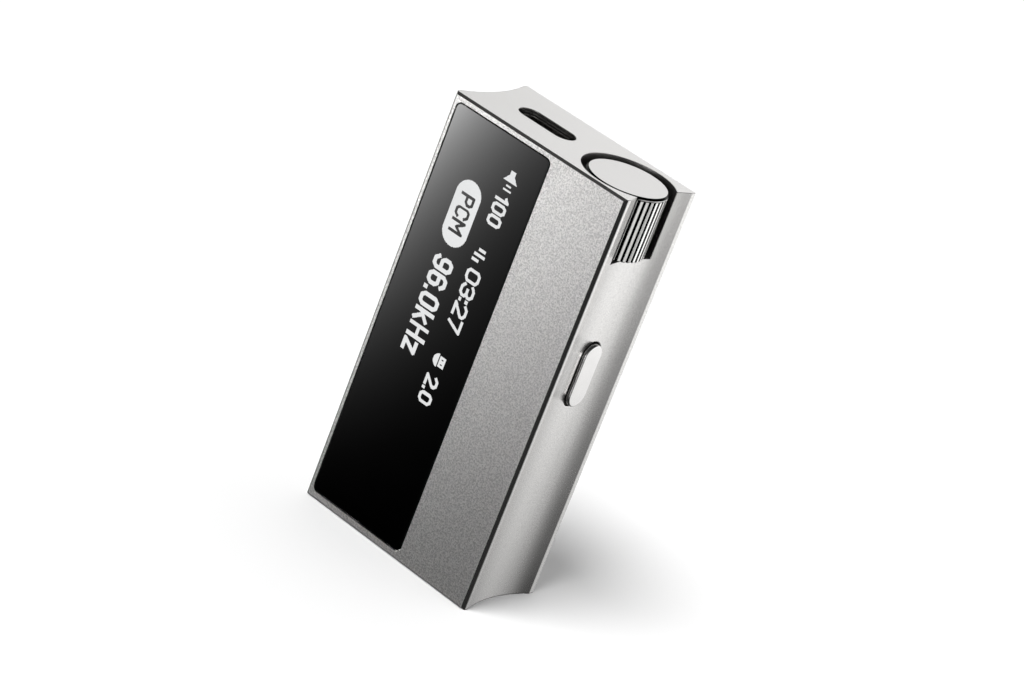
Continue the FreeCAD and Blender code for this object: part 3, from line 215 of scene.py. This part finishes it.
def body_finish(name):
    """Bead-blasted flat faces with a coarse grain, satin sides and ends, and cut, polished bevels between."""
    finish = Finish(name, Metallic=1.0)
    facing = finish.add("SeparateXYZ", {0: finish.add("TexCoord").outputs["Normal"]}).outputs["Y"]
    facing = finish.maths("ABSOLUTE", facing)
    across = finish.maths("ABSOLUTE", finish.add("SeparateXYZ", {0: finish.place}).outputs["Y"])
    on_face = finish.span(across, cad_high.y - 2 * FACE_MARGIN, cad_high.y - FACE_MARGIN)
    near_face = finish.span(across, cad_high.y - BEVEL_DEPTH - FACE_MARGIN, cad_high.y - BEVEL_DEPTH)
    blasted = finish.maths("MULTIPLY", on_face, finish.span(facing, 0.85, 0.9))
    slanted = finish.maths("MULTIPLY", finish.span(facing, 0.5, 0.55), finish.span(facing, 0.85, 0.9, 1, 0))
    polished = finish.maths("MULTIPLY", near_face, slanted)

    grain = finish.noise(GRAIN, detail=3.0, roughness=0.7)
    pits = finish.noise(GRAIN * 0.55, detail=1.0)
    patches = finish.noise(9 * MM, detail=3.0)
    fine = finish.noise(FINE_GRAIN, detail=2.0, roughness=0.6)

    coarse_colour = finish.tint(finish.span(grain, 0.36, 0.64), BODY_DARK, BODY_LIGHT)
    satin_factor = finish.maths("MULTIPLY", finish.span(fine, 0.3, 0.7), 0.7)
    satin_colour = finish.tint(satin_factor, BODY_SATIN, BODY_SHADE)
    colour = finish.mix(blasted, satin_colour, coarse_colour)
    finish.feed(Base_Color=finish.mix(polished, colour, (*BODY_POLISHED, 1)))

    coarse_rough = finish.span(pits, 0.25, 0.75, 0.36, 0.50)
    uneven = finish.span(patches, 0.2, 0.8, -0.02, 0.02)
    satin_rough = finish.maths("ADD", finish.span(fine, 0.2, 0.8, 0.20, 0.27), uneven)
    in_pocket = finish.span(finish.from_wheel_axis(), POCKET_RADIUS, POCKET_RADIUS + FACE_MARGIN, 1, 0)
    upright = finish.add("SeparateXYZ", {0: finish.place}).outputs["Z"]
    for low, high, to_low, to_high in (
        (POCKET_FLOOR - FACE_MARGIN, POCKET_FLOOR, 0, 1),
        (cad_high.z - FACE_MARGIN, cad_high.z, 1, 0),
    ):
        in_pocket = finish.maths("MULTIPLY", in_pocket, finish.span(upright, low, high, to_low, to_high))
    rough = finish.blend(blasted, finish.blend(in_pocket, satin_rough, POCKET_ROUGHNESS), coarse_rough)
    polished_rough = finish.span(patches, 0.2, 0.8, 0.07, 0.11)
    finish.feed(Roughness=finish.blend(polished, rough, polished_rough))

    height = finish.blend(blasted, finish.maths("MULTIPLY", fine, 0.12), grain)
    height = finish.blend(polished, height, 0.5)
    side_edge = cad_high.y - 0.45 * MM
    face_edge = cad_high.y - 0.15 * MM
    rounding = finish.span(across, side_edge, face_edge, OUTER_EDGE_ROUND, EDGE_ROUND)
    rounded = finish.rounded_edges(rounding)
    finish.feed(Normal=finish.bump(height, 0.012 * MM, rounded, strength=0.6))
    return finish.material


def metal_finish(name, colour, rough, grain=0.1 * MM, stretch=None, depth=0.002 * MM, edges=None, shade=0.85):
    """Machined, drawn or plated metal with a fine grain.

    rough is its smoothest and roughest, and stretch draws the grain out along an axis.
    """
    finish = Finish(name, Metallic=1.0)
    fine = finish.noise(grain, detail=3.0, roughness=0.6, stretch=stretch)
    patches = finish.noise(25 * grain, detail=2.0)
    darker = tuple(shade * part for part in colour)
    finish.feed(Base_Color=finish.tint(finish.span(fine, 0.25, 0.75), darker, colour))
    handled = finish.span(patches, 0.3, 0.7, -0.03, 0.03)
    finish.feed(Roughness=finish.maths("ADD", finish.span(fine, 0.2, 0.8, *rough), handled))
    normal = finish.rounded_edges(edges) if edges else None
    finish.feed(Normal=finish.bump(fine, depth, normal))
    return finish.material


def moulded_finish(name, colour, rough, grain=0.15 * MM, depth=0.004 * MM, light=1.35):
    """Moulded plastic, rubber, tape or ceramic: a matt, spark-eroded skin with faint shade changes."""
    finish = Finish(name, Specular_IOR_Level=0.4)
    texture = finish.cells(grain)
    patches = finish.noise(12 * grain, detail=3.0)
    lighter = tuple(min(light * part, 1.0) for part in colour)
    finish.feed(Base_Color=finish.tint(finish.span(patches, 0.3, 0.7), colour, lighter))
    finish.feed(Roughness=finish.span(texture, 0.0, 0.7, *rough))
    finish.feed(Normal=finish.bump(texture, depth))
    return finish.material


# The grooves are painted dark as shade up to just below the crests, and the chamfer round the end disc gets
# the same painted shade.
RIB_ROOT = 5.955 * MM
RIB_CREST = 5.985 * MM
WHEEL_PAINTED_SHADE = (0.03, 0.03, 0.03, 1)


def wheel_finish(name):
    """Turned aluminium: faint rings on the satin end disc, and cut, bright ribs below it, with painted shade
    in the grooves and on the chamfer round the disc.
    """
    finish = Finish(name, Metallic=1.0)
    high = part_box("volume_wheel")[1]
    radius = finish.from_wheel_axis()
    rings = finish.add(
        "TexNoise",
        {"W": radius, "Scale": 1 / (0.11 * MM), "Detail": 2.0},
        noise_dimensions="1D",
    ).outputs["Fac"]
    upright = finish.add("SeparateXYZ", {0: finish.place}).outputs["Z"]
    on_cap = finish.span(upright, high.z - 0.01 * MM, high.z)
    fine = finish.noise(0.08 * MM, detail=2.0, roughness=0.6)
    grain = finish.blend(0.5, rings, fine)
    cap = finish.tint(finish.span(grain, 0.3, 0.7), (0.74, 0.73, 0.72), (0.82, 0.81, 0.80))
    crests = finish.tint(finish.span(fine, 0.3, 0.7), (0.88, 0.87, 0.85), (0.95, 0.94, 0.92))
    # Painted shade: the grooves are coloured near black below the crests.
    ribs_with_painted_shade = finish.mix(finish.span(radius, RIB_ROOT, RIB_CREST), WHEEL_PAINTED_SHADE, crests)
    upward = finish.add("SeparateXYZ", {0: finish.add("TexCoord").outputs["Normal"]}).outputs["Z"]
    # Painted shade: the chamfer round the end disc is coloured as dark as the grooves.
    chamfer_painted_shade_mask = finish.maths("MULTIPLY", finish.span(upward, 0.2, 0.5), finish.span(upward, 0.8, 0.95, 1, 0))
    end_disc_with_painted_shade = finish.mix(chamfer_painted_shade_mask, cap, WHEEL_PAINTED_SHADE)
    finish.feed(Base_Color=finish.mix(on_cap, ribs_with_painted_shade, end_disc_with_painted_shade))
    cap_rough = finish.span(grain, 0.25, 0.75, 0.19, 0.27)
    rib_rough = finish.span(fine, 0.25, 0.75, 0.09, 0.14)
    finish.feed(Roughness=finish.blend(on_cap, rib_rough, cap_rough))
    rounding = finish.blend(on_cap, 0.11 * MM, 0.04 * MM)
    finish.feed(Normal=finish.bump(grain, 0.0012 * MM, finish.rounded_edges(rounding)))
    return finish.material


def glass_finish(name):
    """Black-backed cover glass: deep and glossy, with the faintest film of handling on it."""
    finish = Finish(name, IOR=1.52)
    film = finish.noise(6 * MM, detail=4.0, roughness=0.6)
    tone = finish.span(film, 0.35, 0.65)
    finish.feed(Base_Color=finish.tint(tone, (0.0012, 0.0012, 0.0014), (0.0022, 0.0022, 0.0025)))
    finish.feed(Roughness=finish.span(film, 0.3, 0.8, 0.015, 0.045))
    finish.feed(Normal=finish.rounded_edges(0.08 * MM))
    return finish.material


def lit_finish(name):
    """Lit display cells: soft white light that varies a little from cell to cell."""
    finish = Finish(name, Base_Color=(0.02, 0.02, 0.02, 1), Roughness=0.4)
    cells = finish.noise(CELL.x, detail=1.0)
    wide = finish.noise(5 * MM, detail=1.0)
    by_cell = finish.span(cells, 0.2, 0.8, -0.03, 0.03)
    by_region = finish.span(wide, 0.3, 0.7, -0.02, 0.02)
    spread = finish.maths("ADD", by_cell, by_region)
    finish.feed(Emission_Strength=finish.maths("ADD", spread, 0.77))
    finish.feed(Emission_Color=finish.tint(cells, (0.96, 0.98, 1.0), (1.0, 1.0, 0.99)))
    return finish.material


def board_finish(name):
    """Black solder mask over copper tracks, which stand a little proud and show lighter."""
    finish = Finish(name, Specular_IOR_Level=0.5)
    grid = finish.add(
        "TexBrick",
        {"Vector": finish.place, "Scale": 1 / (1.6 * MM), "Mortar Size": 0.06, "Mortar Smooth": 0.4},
        offset=0.37,
    ).outputs["Fac"]
    fibre = finish.noise(0.3 * MM, detail=2.0, stretch=(1, 1, 4))
    base = finish.tint(fibre, (0.010, 0.013, 0.011), (0.018, 0.022, 0.019))
    finish.feed(Base_Color=finish.mix(grid, base, (0.045, 0.055, 0.040, 1)))
    finish.feed(Roughness=finish.span(fibre, 0.2, 0.8, 0.28, 0.42))
    finish.feed(Normal=finish.bump(grid, 0.02 * MM))
    return finish.material


def ribbon_finish(name):
    """Amber polyimide film with parallel copper tracks under it."""
    finish = Finish(name, Specular_IOR_Level=0.5)
    tracks = finish.add(
        "TexWave",
        {"Vector": finish.place, "Scale": 1 / (1.3 * MM), "Distortion": 0.0},
        bands_direction="X",
        wave_profile="SIN",
    ).outputs["Fac"]
    cloud = finish.noise(1.5 * MM)
    film = finish.tint(cloud, (0.30, 0.12, 0.020), (0.38, 0.17, 0.035))
    finish.feed(Base_Color=finish.mix(finish.span(tracks, 0.55, 0.75), film, (0.55, 0.26, 0.08, 1)))
    finish.feed(Roughness=finish.span(cloud, 0.3, 0.7, 0.25, 0.38))
    finish.feed(Normal=finish.bump(tracks, 0.01 * MM))
    return finish.material


# ---------------------------------------------------------------- lit display

# The panel has 256 columns and 64 rows of its own dots, and each dot is drawn as 2 x 2 cells. Columns count
# from the USB end along the way the text reads (-Z), and rows count from the panel's far side towards the
# wheel side, which is up for a reader (+X).
COLUMNS = 256
ROWS = 64
CELLS_PER_DOT = 2
panel_low, panel_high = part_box("display_panel")
panel_size = panel_high - panel_low
CELL = Vector((panel_size.x / ROWS, 0, panel_size.z / COLUMNS)) / CELLS_PER_DOT
GLASS_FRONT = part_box("cover_glass")[0].y
LIGHT_GAP = 0.001 * MM
LIGHT_THICKNESS = 0.005 * MM

# Each glyph's strokes on a grid 6 high, and its width on that grid.
GLYPHS = {
    "0": (4, [[(1, 0), (3, 0), (4, 1), (4, 5), (3, 6), (1, 6), (0, 5), (0, 1), (1, 0)]]),
    "1": (2, [[(0.4, 4.9), (2, 6), (2, 0)]]),
    "2": (4, [[(0, 5), (1, 6), (3, 6), (4, 5), (4, 3.9), (0, 0), (4, 0)]]),
    "3": (
        4,
        [
            [(0, 5), (1, 6), (3, 6), (4, 5), (4, 4), (3, 3.1), (1.6, 3.1)],
            [(3, 3.1), (4, 2.2), (4, 1), (3, 0), (1, 0), (0, 1)],
        ],
    ),
    "6": (
        4,
        [[(4, 5), (3, 6), (1, 6), (0, 5), (0, 1), (1, 0), (3, 0), (4, 1), (4, 2.5), (3, 3.5), (0, 3.5)]],
    ),
    "7": (4, [[(0, 6), (4, 6), (1.4, 0)]]),
    "9": (
        4,
        [[(0, 1), (1, 0), (3, 0), (4, 1), (4, 5), (3, 6), (1, 6), (0, 5), (0, 3.5), (1, 2.5), (4, 2.5)]],
    ),
    "P": (4, [[(0, 0), (0, 6), (3, 6), (4, 5), (4, 3.8), (3, 2.8), (0, 2.8)]]),
    "C": (4, [[(4, 4.8), (3, 6), (1, 6), (0, 5), (0, 1), (1, 0), (3, 0), (4, 1.2)]]),
    "M": (5, [[(0, 0), (0, 6), (2.5, 2.6), (5, 6), (5, 0)]]),
    "k": (3.6, [[(0, 0), (0, 6)], [(0, 1.7), (3.4, 4.3)], [(1.2, 2.6), (3.6, 0)]]),
    "H": (4.2, [[(0, 0), (0, 6)], [(4.2, 0), (4.2, 6)], [(0, 3), (4.2, 3)]]),
    "z": (3.6, [[(0, 4.2), (3.6, 4.2), (0, 0), (3.6, 0)]]),
    ".": (0, [[(0, 0), (0, 0.2)]]),
    ":": (0, [[(0, 0.9), (0, 1.1)], [(0, 4.2), (0, 4.4)]]),
}
GRID_HEIGHT = 6
LETTER_GAP = 0.5


def in_stroke(point, start, end, half, capped):
    """Whether point is in the straight stroke: square past a capped end, round past any other."""
    along = end - start
    place = (point - start).dot(along.normalized())
    off_line = abs((point - start).cross(along.normalized()))
    past = -place if place < 0 else max(place - along.length, 0)
    if past == 0:
        return off_line <= half
    if capped[0 if place < 0 else 1]:
        return past <= half and off_line <= half
    return math.hypot(past, off_line) <= half


def cells_where(test, first_column, last_column, first_row, last_row):
    """The cells in the range, given in dots, whose middle passes the test."""
    columns = range(math.floor(first_column * CELLS_PER_DOT), math.ceil(last_column * CELLS_PER_DOT))
    rows = range(math.floor(first_row * CELLS_PER_DOT), math.ceil(last_row * CELLS_PER_DOT))
    return {
        (c, r)
        for c in columns
        for r in rows
        if test((c + 0.5) / CELLS_PER_DOT, (r + 0.5) / CELLS_PER_DOT)
    }


def text_cells(text, column, row, height, width, stroke):
    """The cells that the text lights, from its first column and lowest row, fitted to height and width."""
    grid = (height - stroke) / GRID_HEIGHT
    gap = LETTER_GAP * stroke
    inked = sum(GLYPHS[letter][0] for letter in text)
    condensed = (width - len(text) * stroke - (len(text) - 1) * gap) / inked
    lit = set()
    left = column
    for letter in text:
        units, strokes = GLYPHS[letter]
        for line in strokes:
            points = [
                Vector((left + stroke / 2 + across * condensed, row + stroke / 2 + up * grid))
                for across, up in line
            ]
            open_line = line[0] != line[-1]
            for index, (start, end) in enumerate(zip(points, points[1:])):
                capped = (open_line and index == 0, open_line and index == len(points) - 2)
                lit |= cells_where(
                    lambda c, r: in_stroke(Vector((c, r)), start, end, stroke / 2, capped),
                    min(start.x, end.x) - stroke,
                    max(start.x, end.x) + stroke,
                    min(start.y, end.y) - stroke,
                    max(start.y, end.y) + stroke,
                )
        left += units * condensed + stroke + gap
    return lit


def bar_cells(column, row, length, height):
    return cells_where(lambda c, r: True, column, column + length, row, row + height)


def without_corner_contacts(lit):
    """Adds a cell wherever two lit cells meet only at a corner, so that the plate's mesh stays clean."""
    filled = set(lit)
    for c, r in sorted(lit):
        for side in (-1, 1):
            if (c + 1, r + side) in filled and (c + 1, r) not in filled and (c, r + side) not in filled:
                filled.add((c + 1, r))
    return filled


def make_plate(name, lit):
    """One closed, thin plate that covers the lit cells, just in front of the glass."""
    lit = without_corner_contacts(lit)
    corners = {}
    vertices = []
    faces = []
    layers = (GLASS_FRONT - LIGHT_GAP, GLASS_FRONT - LIGHT_GAP - LIGHT_THICKNESS)

    def corner(c, r, layer):
        key = (c, r, layer)
        if key not in corners:
            corners[key] = len(vertices)
            vertices.append((panel_low.x + r * CELL.x, layers[layer], panel_high.z - c * CELL.z))
        return corners[key]

    for c, r in sorted(lit):
        ring = [(c, r), (c + 1, r), (c + 1, r + 1), (c, r + 1)]
        faces.append([corner(*place, 1) for place in ring])
        faces.append([corner(*place, 0) for place in reversed(ring)])
        neighbours = [(c, r - 1), (c + 1, r), (c, r + 1), (c - 1, r)]
        for side, beside in enumerate(neighbours):
            if beside not in lit:
                start, end = ring[side], ring[(side + 1) % 4]
                faces.append([corner(*end, 1), corner(*start, 1), corner(*start, 0), corner(*end, 0)])
    mesh = bpy.data.meshes.new(name)
    mesh.from_pydata(vertices, [], faces)
    mesh.validate()
    mesh.materials.append(finishes["display_light"])
    plate = bpy.data.objects.new(name, mesh)
    scene.collection.objects.link(plate)
    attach(plate, "case")


def speaker_cells(column, middle):
    """A loudspeaker seen from its side, with two short bars of sound."""
    half = 2.7
    widening = 0.9
    magnet = cells_where(lambda c, r: abs(r - middle) < half, column, column + 5, middle - 4, middle + 4)
    cone = cells_where(
        lambda c, r: abs(r - middle) < half + widening * (c - column - 4),
        column + 4,
        column + 9,
        middle - 7,
        middle + 7,
    )
    waves = bar_cells(column + 11.5, middle - 2.5, 1.5, 5) | bar_cells(column + 15, middle - 4, 1.5, 8)
    return magnet | cone | waves


def plug_cells(column, row):
    """A plug: a rounded grip below its square metal shell, which has two windows."""
    middle = 5.5
    radius = 5.6
    grip = cells_where(
        lambda c, r: ((c - column - middle) / radius) ** 2 + ((r - row - middle) / radius) ** 2 < 1,
        column,
        column + 11,
        row,
        row + 5,
    )
    shell = bar_cells(column + 1, row + 6, 9, 6)
    windows = bar_cells(column + 3, row + 8, 1, 2) | bar_cells(column + 7, row + 8, 1, 2)
    return grip | (shell - windows)


def badge_cells(column, row, length, height):
    """A long badge with round ends."""
    end = height / 2

    def inside(c, r):
        nearest = min(max(c, column + end), column + length - end)
        return math.hypot(c - nearest, r - row - end) <= end

    return cells_where(inside, column, column + length, row, row + height)


SMALL_STROKE = 2.5
BADGE_STROKE = 2.4
LARGE_STROKE = 3.3


def make_display_light():
    """A status line, a badge and a rate, each placed by its first column and its lowest or middle row."""
    make_plate("light_speaker", speaker_cells(12, 52.5))
    make_plate("light_level", text_cells("100", 32.5, 44.5, 14, 26, SMALL_STROKE))
    bars = bar_cells(78.5, 48, 2.5, 7) | bar_cells(83, 45, 2.5, 11) | bar_cells(87.5, 44.5, 2.5, 7)
    make_plate("light_bars", bars)
    make_plate("light_time", text_cells("03:27", 96, 44.5, 14.5, 53, SMALL_STROKE))
    make_plate("light_plug", plug_cells(170, 44.5))
    make_plate("light_gain", text_cells("2.0", 188.5, 44, 13.5, 24.5, SMALL_STROKE))
    letters = text_cells("PCM", 47.5, 14.5, 14.5, 33, BADGE_STROKE)
    make_plate("light_badge", badge_cells(36.5, 9, 54.5, 25) - letters)
    make_plate("light_rate", text_cells("96.0kHz", 101, 12, 20, 83.5, LARGE_STROKE))


# ---------------------------------------------------------------- finishes of every part

plain_materials = {material.name: material for material in bpy.data.materials}
for name, plain in plain_materials.items():
    plain.name = "plain_" + name

STEEL = (0.56, 0.56, 0.57)
GOLD = (0.92, 0.68, 0.30)
BRASS = (0.78, 0.62, 0.34)
COPPER = (0.80, 0.44, 0.30)
PANEL_BLACK = (0.006, 0.006, 0.008)
CERAMIC = (0.32, 0.23, 0.15)
FERRITE = (0.030, 0.030, 0.032)
BUTTON_ALUMINIUM = (0.95, 0.94, 0.93)
ALONG_Z = (1, 1, 14)

finishes = {
    "housing_metal": body_finish("housing_metal"),
    "cover_metal": body_finish("cover_metal"),
    "wheel_metal": wheel_finish("wheel_metal"),
    "button_metal": metal_finish(
        "button_metal", BUTTON_ALUMINIUM, (0.20, 0.27), edges=0.06 * MM, shade=0.95
    ),
    "screw_steel": metal_finish("screw_steel", (0.20, 0.20, 0.21), (0.28, 0.42), edges=0.04 * MM),
    "shaft_steel": metal_finish("shaft_steel", STEEL, (0.15, 0.28), stretch=ALONG_Z),
    "spring_steel": metal_finish("spring_steel", STEEL, (0.20, 0.34), stretch=ALONG_Z),
    "connector_steel": metal_finish("connector_steel", (0.62, 0.60, 0.57), (0.16, 0.30), edges=0.05 * MM),
    "shield_steel": metal_finish("shield_steel", (0.66, 0.66, 0.65), (0.24, 0.40), stretch=ALONG_Z),
    "brass_metal": metal_finish("brass_metal", BRASS, (0.18, 0.30)),
    "gold_contacts": metal_finish("gold_contacts", GOLD, (0.12, 0.24), grain=0.05 * MM),
    "ring_metal": metal_finish("ring_metal", GOLD, (0.16, 0.26), edges=0.05 * MM),
    "cover_glass": glass_finish("cover_glass"),
    "display_black": moulded_finish("display_black", PANEL_BLACK, (0.12, 0.22), depth=0.0005 * MM),
    "display_light": lit_finish("display_light"),
    "black_tape": moulded_finish("black_tape", (0.010, 0.010, 0.010), (0.55, 0.75), grain=0.4 * MM),
    "copper_tape": metal_finish("copper_tape", COPPER, (0.25, 0.42), stretch=ALONG_Z),
    "flex_film": ribbon_finish("flex_film"),
    "black_plastic": moulded_finish("black_plastic", (0.013, 0.013, 0.014), (0.35, 0.52)),
    "board_laminate": board_finish("board_laminate"),
    "chip_black": moulded_finish("chip_black", (0.016, 0.016, 0.017), (0.45, 0.62), grain=0.08 * MM),
    "capacitor_film": moulded_finish("capacitor_film", (0.34, 0.030, 0.022), (0.25, 0.40)),
    "capacitor_ceramic": moulded_finish("capacitor_ceramic", CERAMIC, (0.30, 0.45), grain=0.06 * MM),
    "inductor_ferrite": moulded_finish("inductor_ferrite", FERRITE, (0.50, 0.70), grain=0.1 * MM),
    "oscillator_can": metal_finish("oscillator_can", (0.72, 0.68, 0.58), (0.18, 0.30)),
    "thermal_rubber": moulded_finish("thermal_rubber", (0.22, 0.24, 0.27), (0.60, 0.80), grain=0.3 * MM),
}

for name, plain in plain_materials.items():
    plain.user_remap(finishes[name])
    bpy.data.materials.remove(plain)

make_display_light()


# ---------------------------------------------------------------- floor, cards and lights

FLOOR_SIZE = 6.0
FLOOR_GLOW = 0.03
SHADOW_LIGHT_FROM = Vector((-0.09, -0.40, 1.0))
SHADOW_LIGHT_ANGLE = math.radians(25)
SHADOW_LIGHT_STRENGTH = 3.3
FILL_LIGHT_FROM = Vector((0.25, 1.0, 1.0))
FILL_LIGHT_ANGLE = math.radians(93)
FILL_LIGHT_STRENGTH = 1.15


def unseen(obj):
    """Keeps a card out of the picture and off the floor, while metal and glass still mirror it."""
    obj.visible_camera = False
    obj.visible_shadow = False
    obj.visible_diffuse = False


def add_to_scene(name, mesh):
    obj = bpy.data.objects.new(name, mesh)
    scene.collection.objects.link(obj)
    return obj


def rectangle_mesh(name, corners):
    mesh = bpy.data.meshes.new(name)
    mesh.from_pydata(corners, [], [range(4)])
    return mesh


def make_floor():
    half = FLOOR_SIZE / 2
    corners = [(-half, -half, 0), (half, -half, 0), (half, half, 0), (-half, half, 0)]
    floor = add_to_scene("floor", rectangle_mesh("floor", corners))
    material = bpy.data.materials.new("floor")
    material.use_nodes = True
    graph = Graph(material.node_tree)
    shader = graph.nodes["Principled BSDF"]
    place = graph.add("TexCoord").outputs["Object"]
    cloud = graph.add("TexNoise", {"Vector": place, "Scale": 3.0}).outputs["Fac"]
    pale = graph.mix(cloud, (0.80, 0.80, 0.80, 1), (0.82, 0.82, 0.82, 1))
    graph.links.new(pale, shader.inputs["Base Color"])
    shader.inputs["Roughness"].default_value = 1.0
    shader.inputs["Specular IOR Level"].default_value = 0.0
    shader.inputs["Emission Color"].default_value = (1, 1, 1, 1)
    shader.inputs["Emission Strength"].default_value = FLOOR_GLOW
    floor.data.materials.append(material)
    floor.visible_glossy = False
    floor.visible_diffuse = False
    return floor


def make_card(name, corners, brightness):
    """A glowing card. brightness(graph, x, y, z) returns the output for its glow at a place in metres."""
    card = add_to_scene(name, rectangle_mesh(name, corners))
    material = bpy.data.materials.new(name)
    material.use_nodes = True
    graph = Graph(material.node_tree)
    graph.nodes.remove(graph.nodes["Principled BSDF"])
    place = graph.add("SeparateXYZ", {0: graph.add("TexCoord").outputs["Object"]})
    glow = brightness(graph, *(place.outputs[axis] for axis in "XYZ"))
    emission = graph.add("Emission", {"Strength": glow})
    graph.links.new(emission.outputs[0], graph.nodes["Material Output"].inputs["Surface"])
    card.data.materials.append(material)
    unseen(card)


# The front card is a softbox far to the left, whose glow dies away to the right and downwards.
FRONT_CARD_Y = -300 * MM
FRONT_CARD_LEFT = -262 * MM
FRONT_CARD_RIGHT = -40 * MM
FRONT_CARD_TOP = 10 * MM
FRONT_CARD_BOTTOM = -190 * MM
FRONT_CARD_GLOW = 8.6
FRONT_FADE_X = 79.3
FRONT_FADE_Z = -36.8
FRONT_FADE_START = 15.08
FRONT_FADE_LEAST = -0.3
FRONT_LOW_DARK = -180 * MM
FRONT_LOW_LIT = -95 * MM


def front_glow(graph, x, y, z):
    across = graph.maths("MULTIPLY", x, FRONT_FADE_X)
    down = graph.maths("MULTIPLY", z, FRONT_FADE_Z)
    fade = graph.maths("ADD", graph.maths("ADD", across, down), FRONT_FADE_START)
    fade = graph.maths("MAXIMUM", fade, FRONT_FADE_LEAST)
    glow = graph.maths("POWER", 1 / math.e, fade)
    low = graph.span(z, FRONT_LOW_DARK, FRONT_LOW_LIT)
    return graph.maths("MULTIPLY", graph.maths("MULTIPLY", glow, low), FRONT_CARD_GLOW)


# The back card lights the end face, the hollow side and the polished edges; it fades downwards.
BACK_CARD_Y = 150 * MM
BACK_CARD_LEFT = -280 * MM
BACK_CARD_RIGHT = 480 * MM
BACK_CARD_TOP = 230 * MM
BACK_CARD_BOTTOM = -135 * MM


def back_glow(graph, x, y, z):
    """Near is what the hollow side's middle mirrors and far its back part; the rest dims single regions."""
    near = graph.span(z, -135 * MM, -12 * MM, 0.07, 1.17, smooth=False)
    far = graph.span(z, -110 * MM, 66 * MM, 0.10, 0.85, smooth=False)
    far = graph.maths("MULTIPLY", far, graph.span(x, 240 * MM, 300 * MM, 1.0, 1.6))
    across = graph.blend(graph.span(x, 165 * MM, 262 * MM), near, far)
    left = graph.span(x, -280 * MM, -60 * MM, 0.45, 0.95)
    low_left = graph.maths("MULTIPLY", graph.span(x, 0, 90 * MM, 1, 0), graph.span(z, 20 * MM, 90 * MM, 1, 0))
    dip = graph.maths("SUBTRACT", 1.0, graph.maths("MULTIPLY", low_left, 0.28))
    front_dip = graph.span(x, 0, 100 * MM, 0.86, 1.0)
    high_right = graph.maths("MULTIPLY", graph.span(x, -20 * MM, 40 * MM), graph.span(z, 80 * MM, 130 * MM))
    glow = graph.maths("MULTIPLY", across, left)
    for share in (dip, front_dip, graph.maths("SUBTRACT", 1.0, high_right)):
        glow = graph.maths("MULTIPLY", glow, share)
    return glow


# The right card gives the wheel's ribs and the rounded edges a weaker light, which falls off downwards.
RIGHT_CARD_X = 300 * MM
RIGHT_CARD_FRONT = -40 * MM
RIGHT_CARD_BACK = 100 * MM
RIGHT_CARD_TOP = 120 * MM
RIGHT_CARD_BOTTOM = -150 * MM


def right_glow(graph, x, y, z):
    return graph.span(z, -150 * MM, -40 * MM, 0.06, 0.75, smooth=False)


def make_cards():
    front = [
        (FRONT_CARD_LEFT, FRONT_CARD_Y, FRONT_CARD_BOTTOM),
        (FRONT_CARD_RIGHT, FRONT_CARD_Y, FRONT_CARD_BOTTOM),
        (FRONT_CARD_RIGHT, FRONT_CARD_Y, FRONT_CARD_TOP),
        (FRONT_CARD_LEFT, FRONT_CARD_Y, FRONT_CARD_TOP),
    ]
    back = [
        (BACK_CARD_LEFT, BACK_CARD_Y, BACK_CARD_BOTTOM),
        (BACK_CARD_RIGHT, BACK_CARD_Y, BACK_CARD_BOTTOM),
        (BACK_CARD_RIGHT, BACK_CARD_Y, BACK_CARD_TOP),
        (BACK_CARD_LEFT, BACK_CARD_Y, BACK_CARD_TOP),
    ]
    right = [
        (RIGHT_CARD_X, RIGHT_CARD_FRONT, RIGHT_CARD_BOTTOM),
        (RIGHT_CARD_X, RIGHT_CARD_BACK, RIGHT_CARD_BOTTOM),
        (RIGHT_CARD_X, RIGHT_CARD_BACK, RIGHT_CARD_TOP),
        (RIGHT_CARD_X, RIGHT_CARD_FRONT, RIGHT_CARD_TOP),
    ]
    make_card("front_card", front, front_glow)
    make_card("back_card", back, back_glow)
    make_card("right_card", right, right_glow)


def make_floor_lights(floor):
    """Two broad suns that light the floor only. The high front one throws the short shadow to the back."""
    lit = bpy.data.collections.new("lit_by_floor_lights")
    lit.objects.link(floor)
    for name, place, angle, strength in (
        ("shadow_light", SHADOW_LIGHT_FROM, SHADOW_LIGHT_ANGLE, SHADOW_LIGHT_STRENGTH),
        ("fill_light", FILL_LIGHT_FROM, FILL_LIGHT_ANGLE, FILL_LIGHT_STRENGTH),
    ):
        lamp = bpy.data.objects.new(name, bpy.data.lights.new(name, "SUN"))
        lamp.data.angle = angle
        lamp.data.energy = strength
        lamp.rotation_euler = place.to_track_quat("Z", "Y").to_euler()
        lamp.light_linking.receiver_collection = lit
        scene.collection.objects.link(lamp)


# Studio light from far away, as soft round patches: where each is, how far its full light and its edge reach
# in degrees, and how bright it is.
STUDIO_PATCHES = (
    ((0.0, -1.0, 0.25), 10, 40, 0.10),
    ((0.05, -0.97, -0.15), 5, 28, 2.3),
    ((-0.49, -0.37, 0.79), 10, 30, 0.035),
    ((-0.45, 0.10, -0.85), 5, 30, 0.30),
    ((0.95, -0.30, 0.25), 5, 35, 0.10),
    ((-0.80, 0.55, 0.10), 5, 50, 0.25),
)
STUDIO_DARK = 0.025


def make_world():
    world = bpy.data.worlds.new("studio")
    world.use_nodes = True
    scene.world = world
    graph = Graph(world.node_tree)
    toward = graph.add("TexCoord").outputs["Generated"]
    glow = STUDIO_DARK
    for place, full, edge, brightness in STUDIO_PATCHES:
        near = graph.add(
            "VectorMath",
            {0: toward, 1: Vector(place).normalized()},
            operation="DOT_PRODUCT",
        ).outputs["Value"]
        patch = graph.span(near, math.cos(math.radians(edge)), math.cos(math.radians(full)), 0, brightness)
        glow = graph.maths("ADD", glow, patch)
    seen = graph.add("LightPath").outputs["Is Camera Ray"]
    background = graph.nodes["Background"]
    graph.links.new(graph.blend(seen, glow, 1.0), background.inputs["Strength"])
    background.inputs["Color"].default_value = (1, 1, 1, 1)


scene.view_settings.view_transform = "Standard"
floor = make_floor()
make_cards()
make_floor_lights(floor)
make_world()
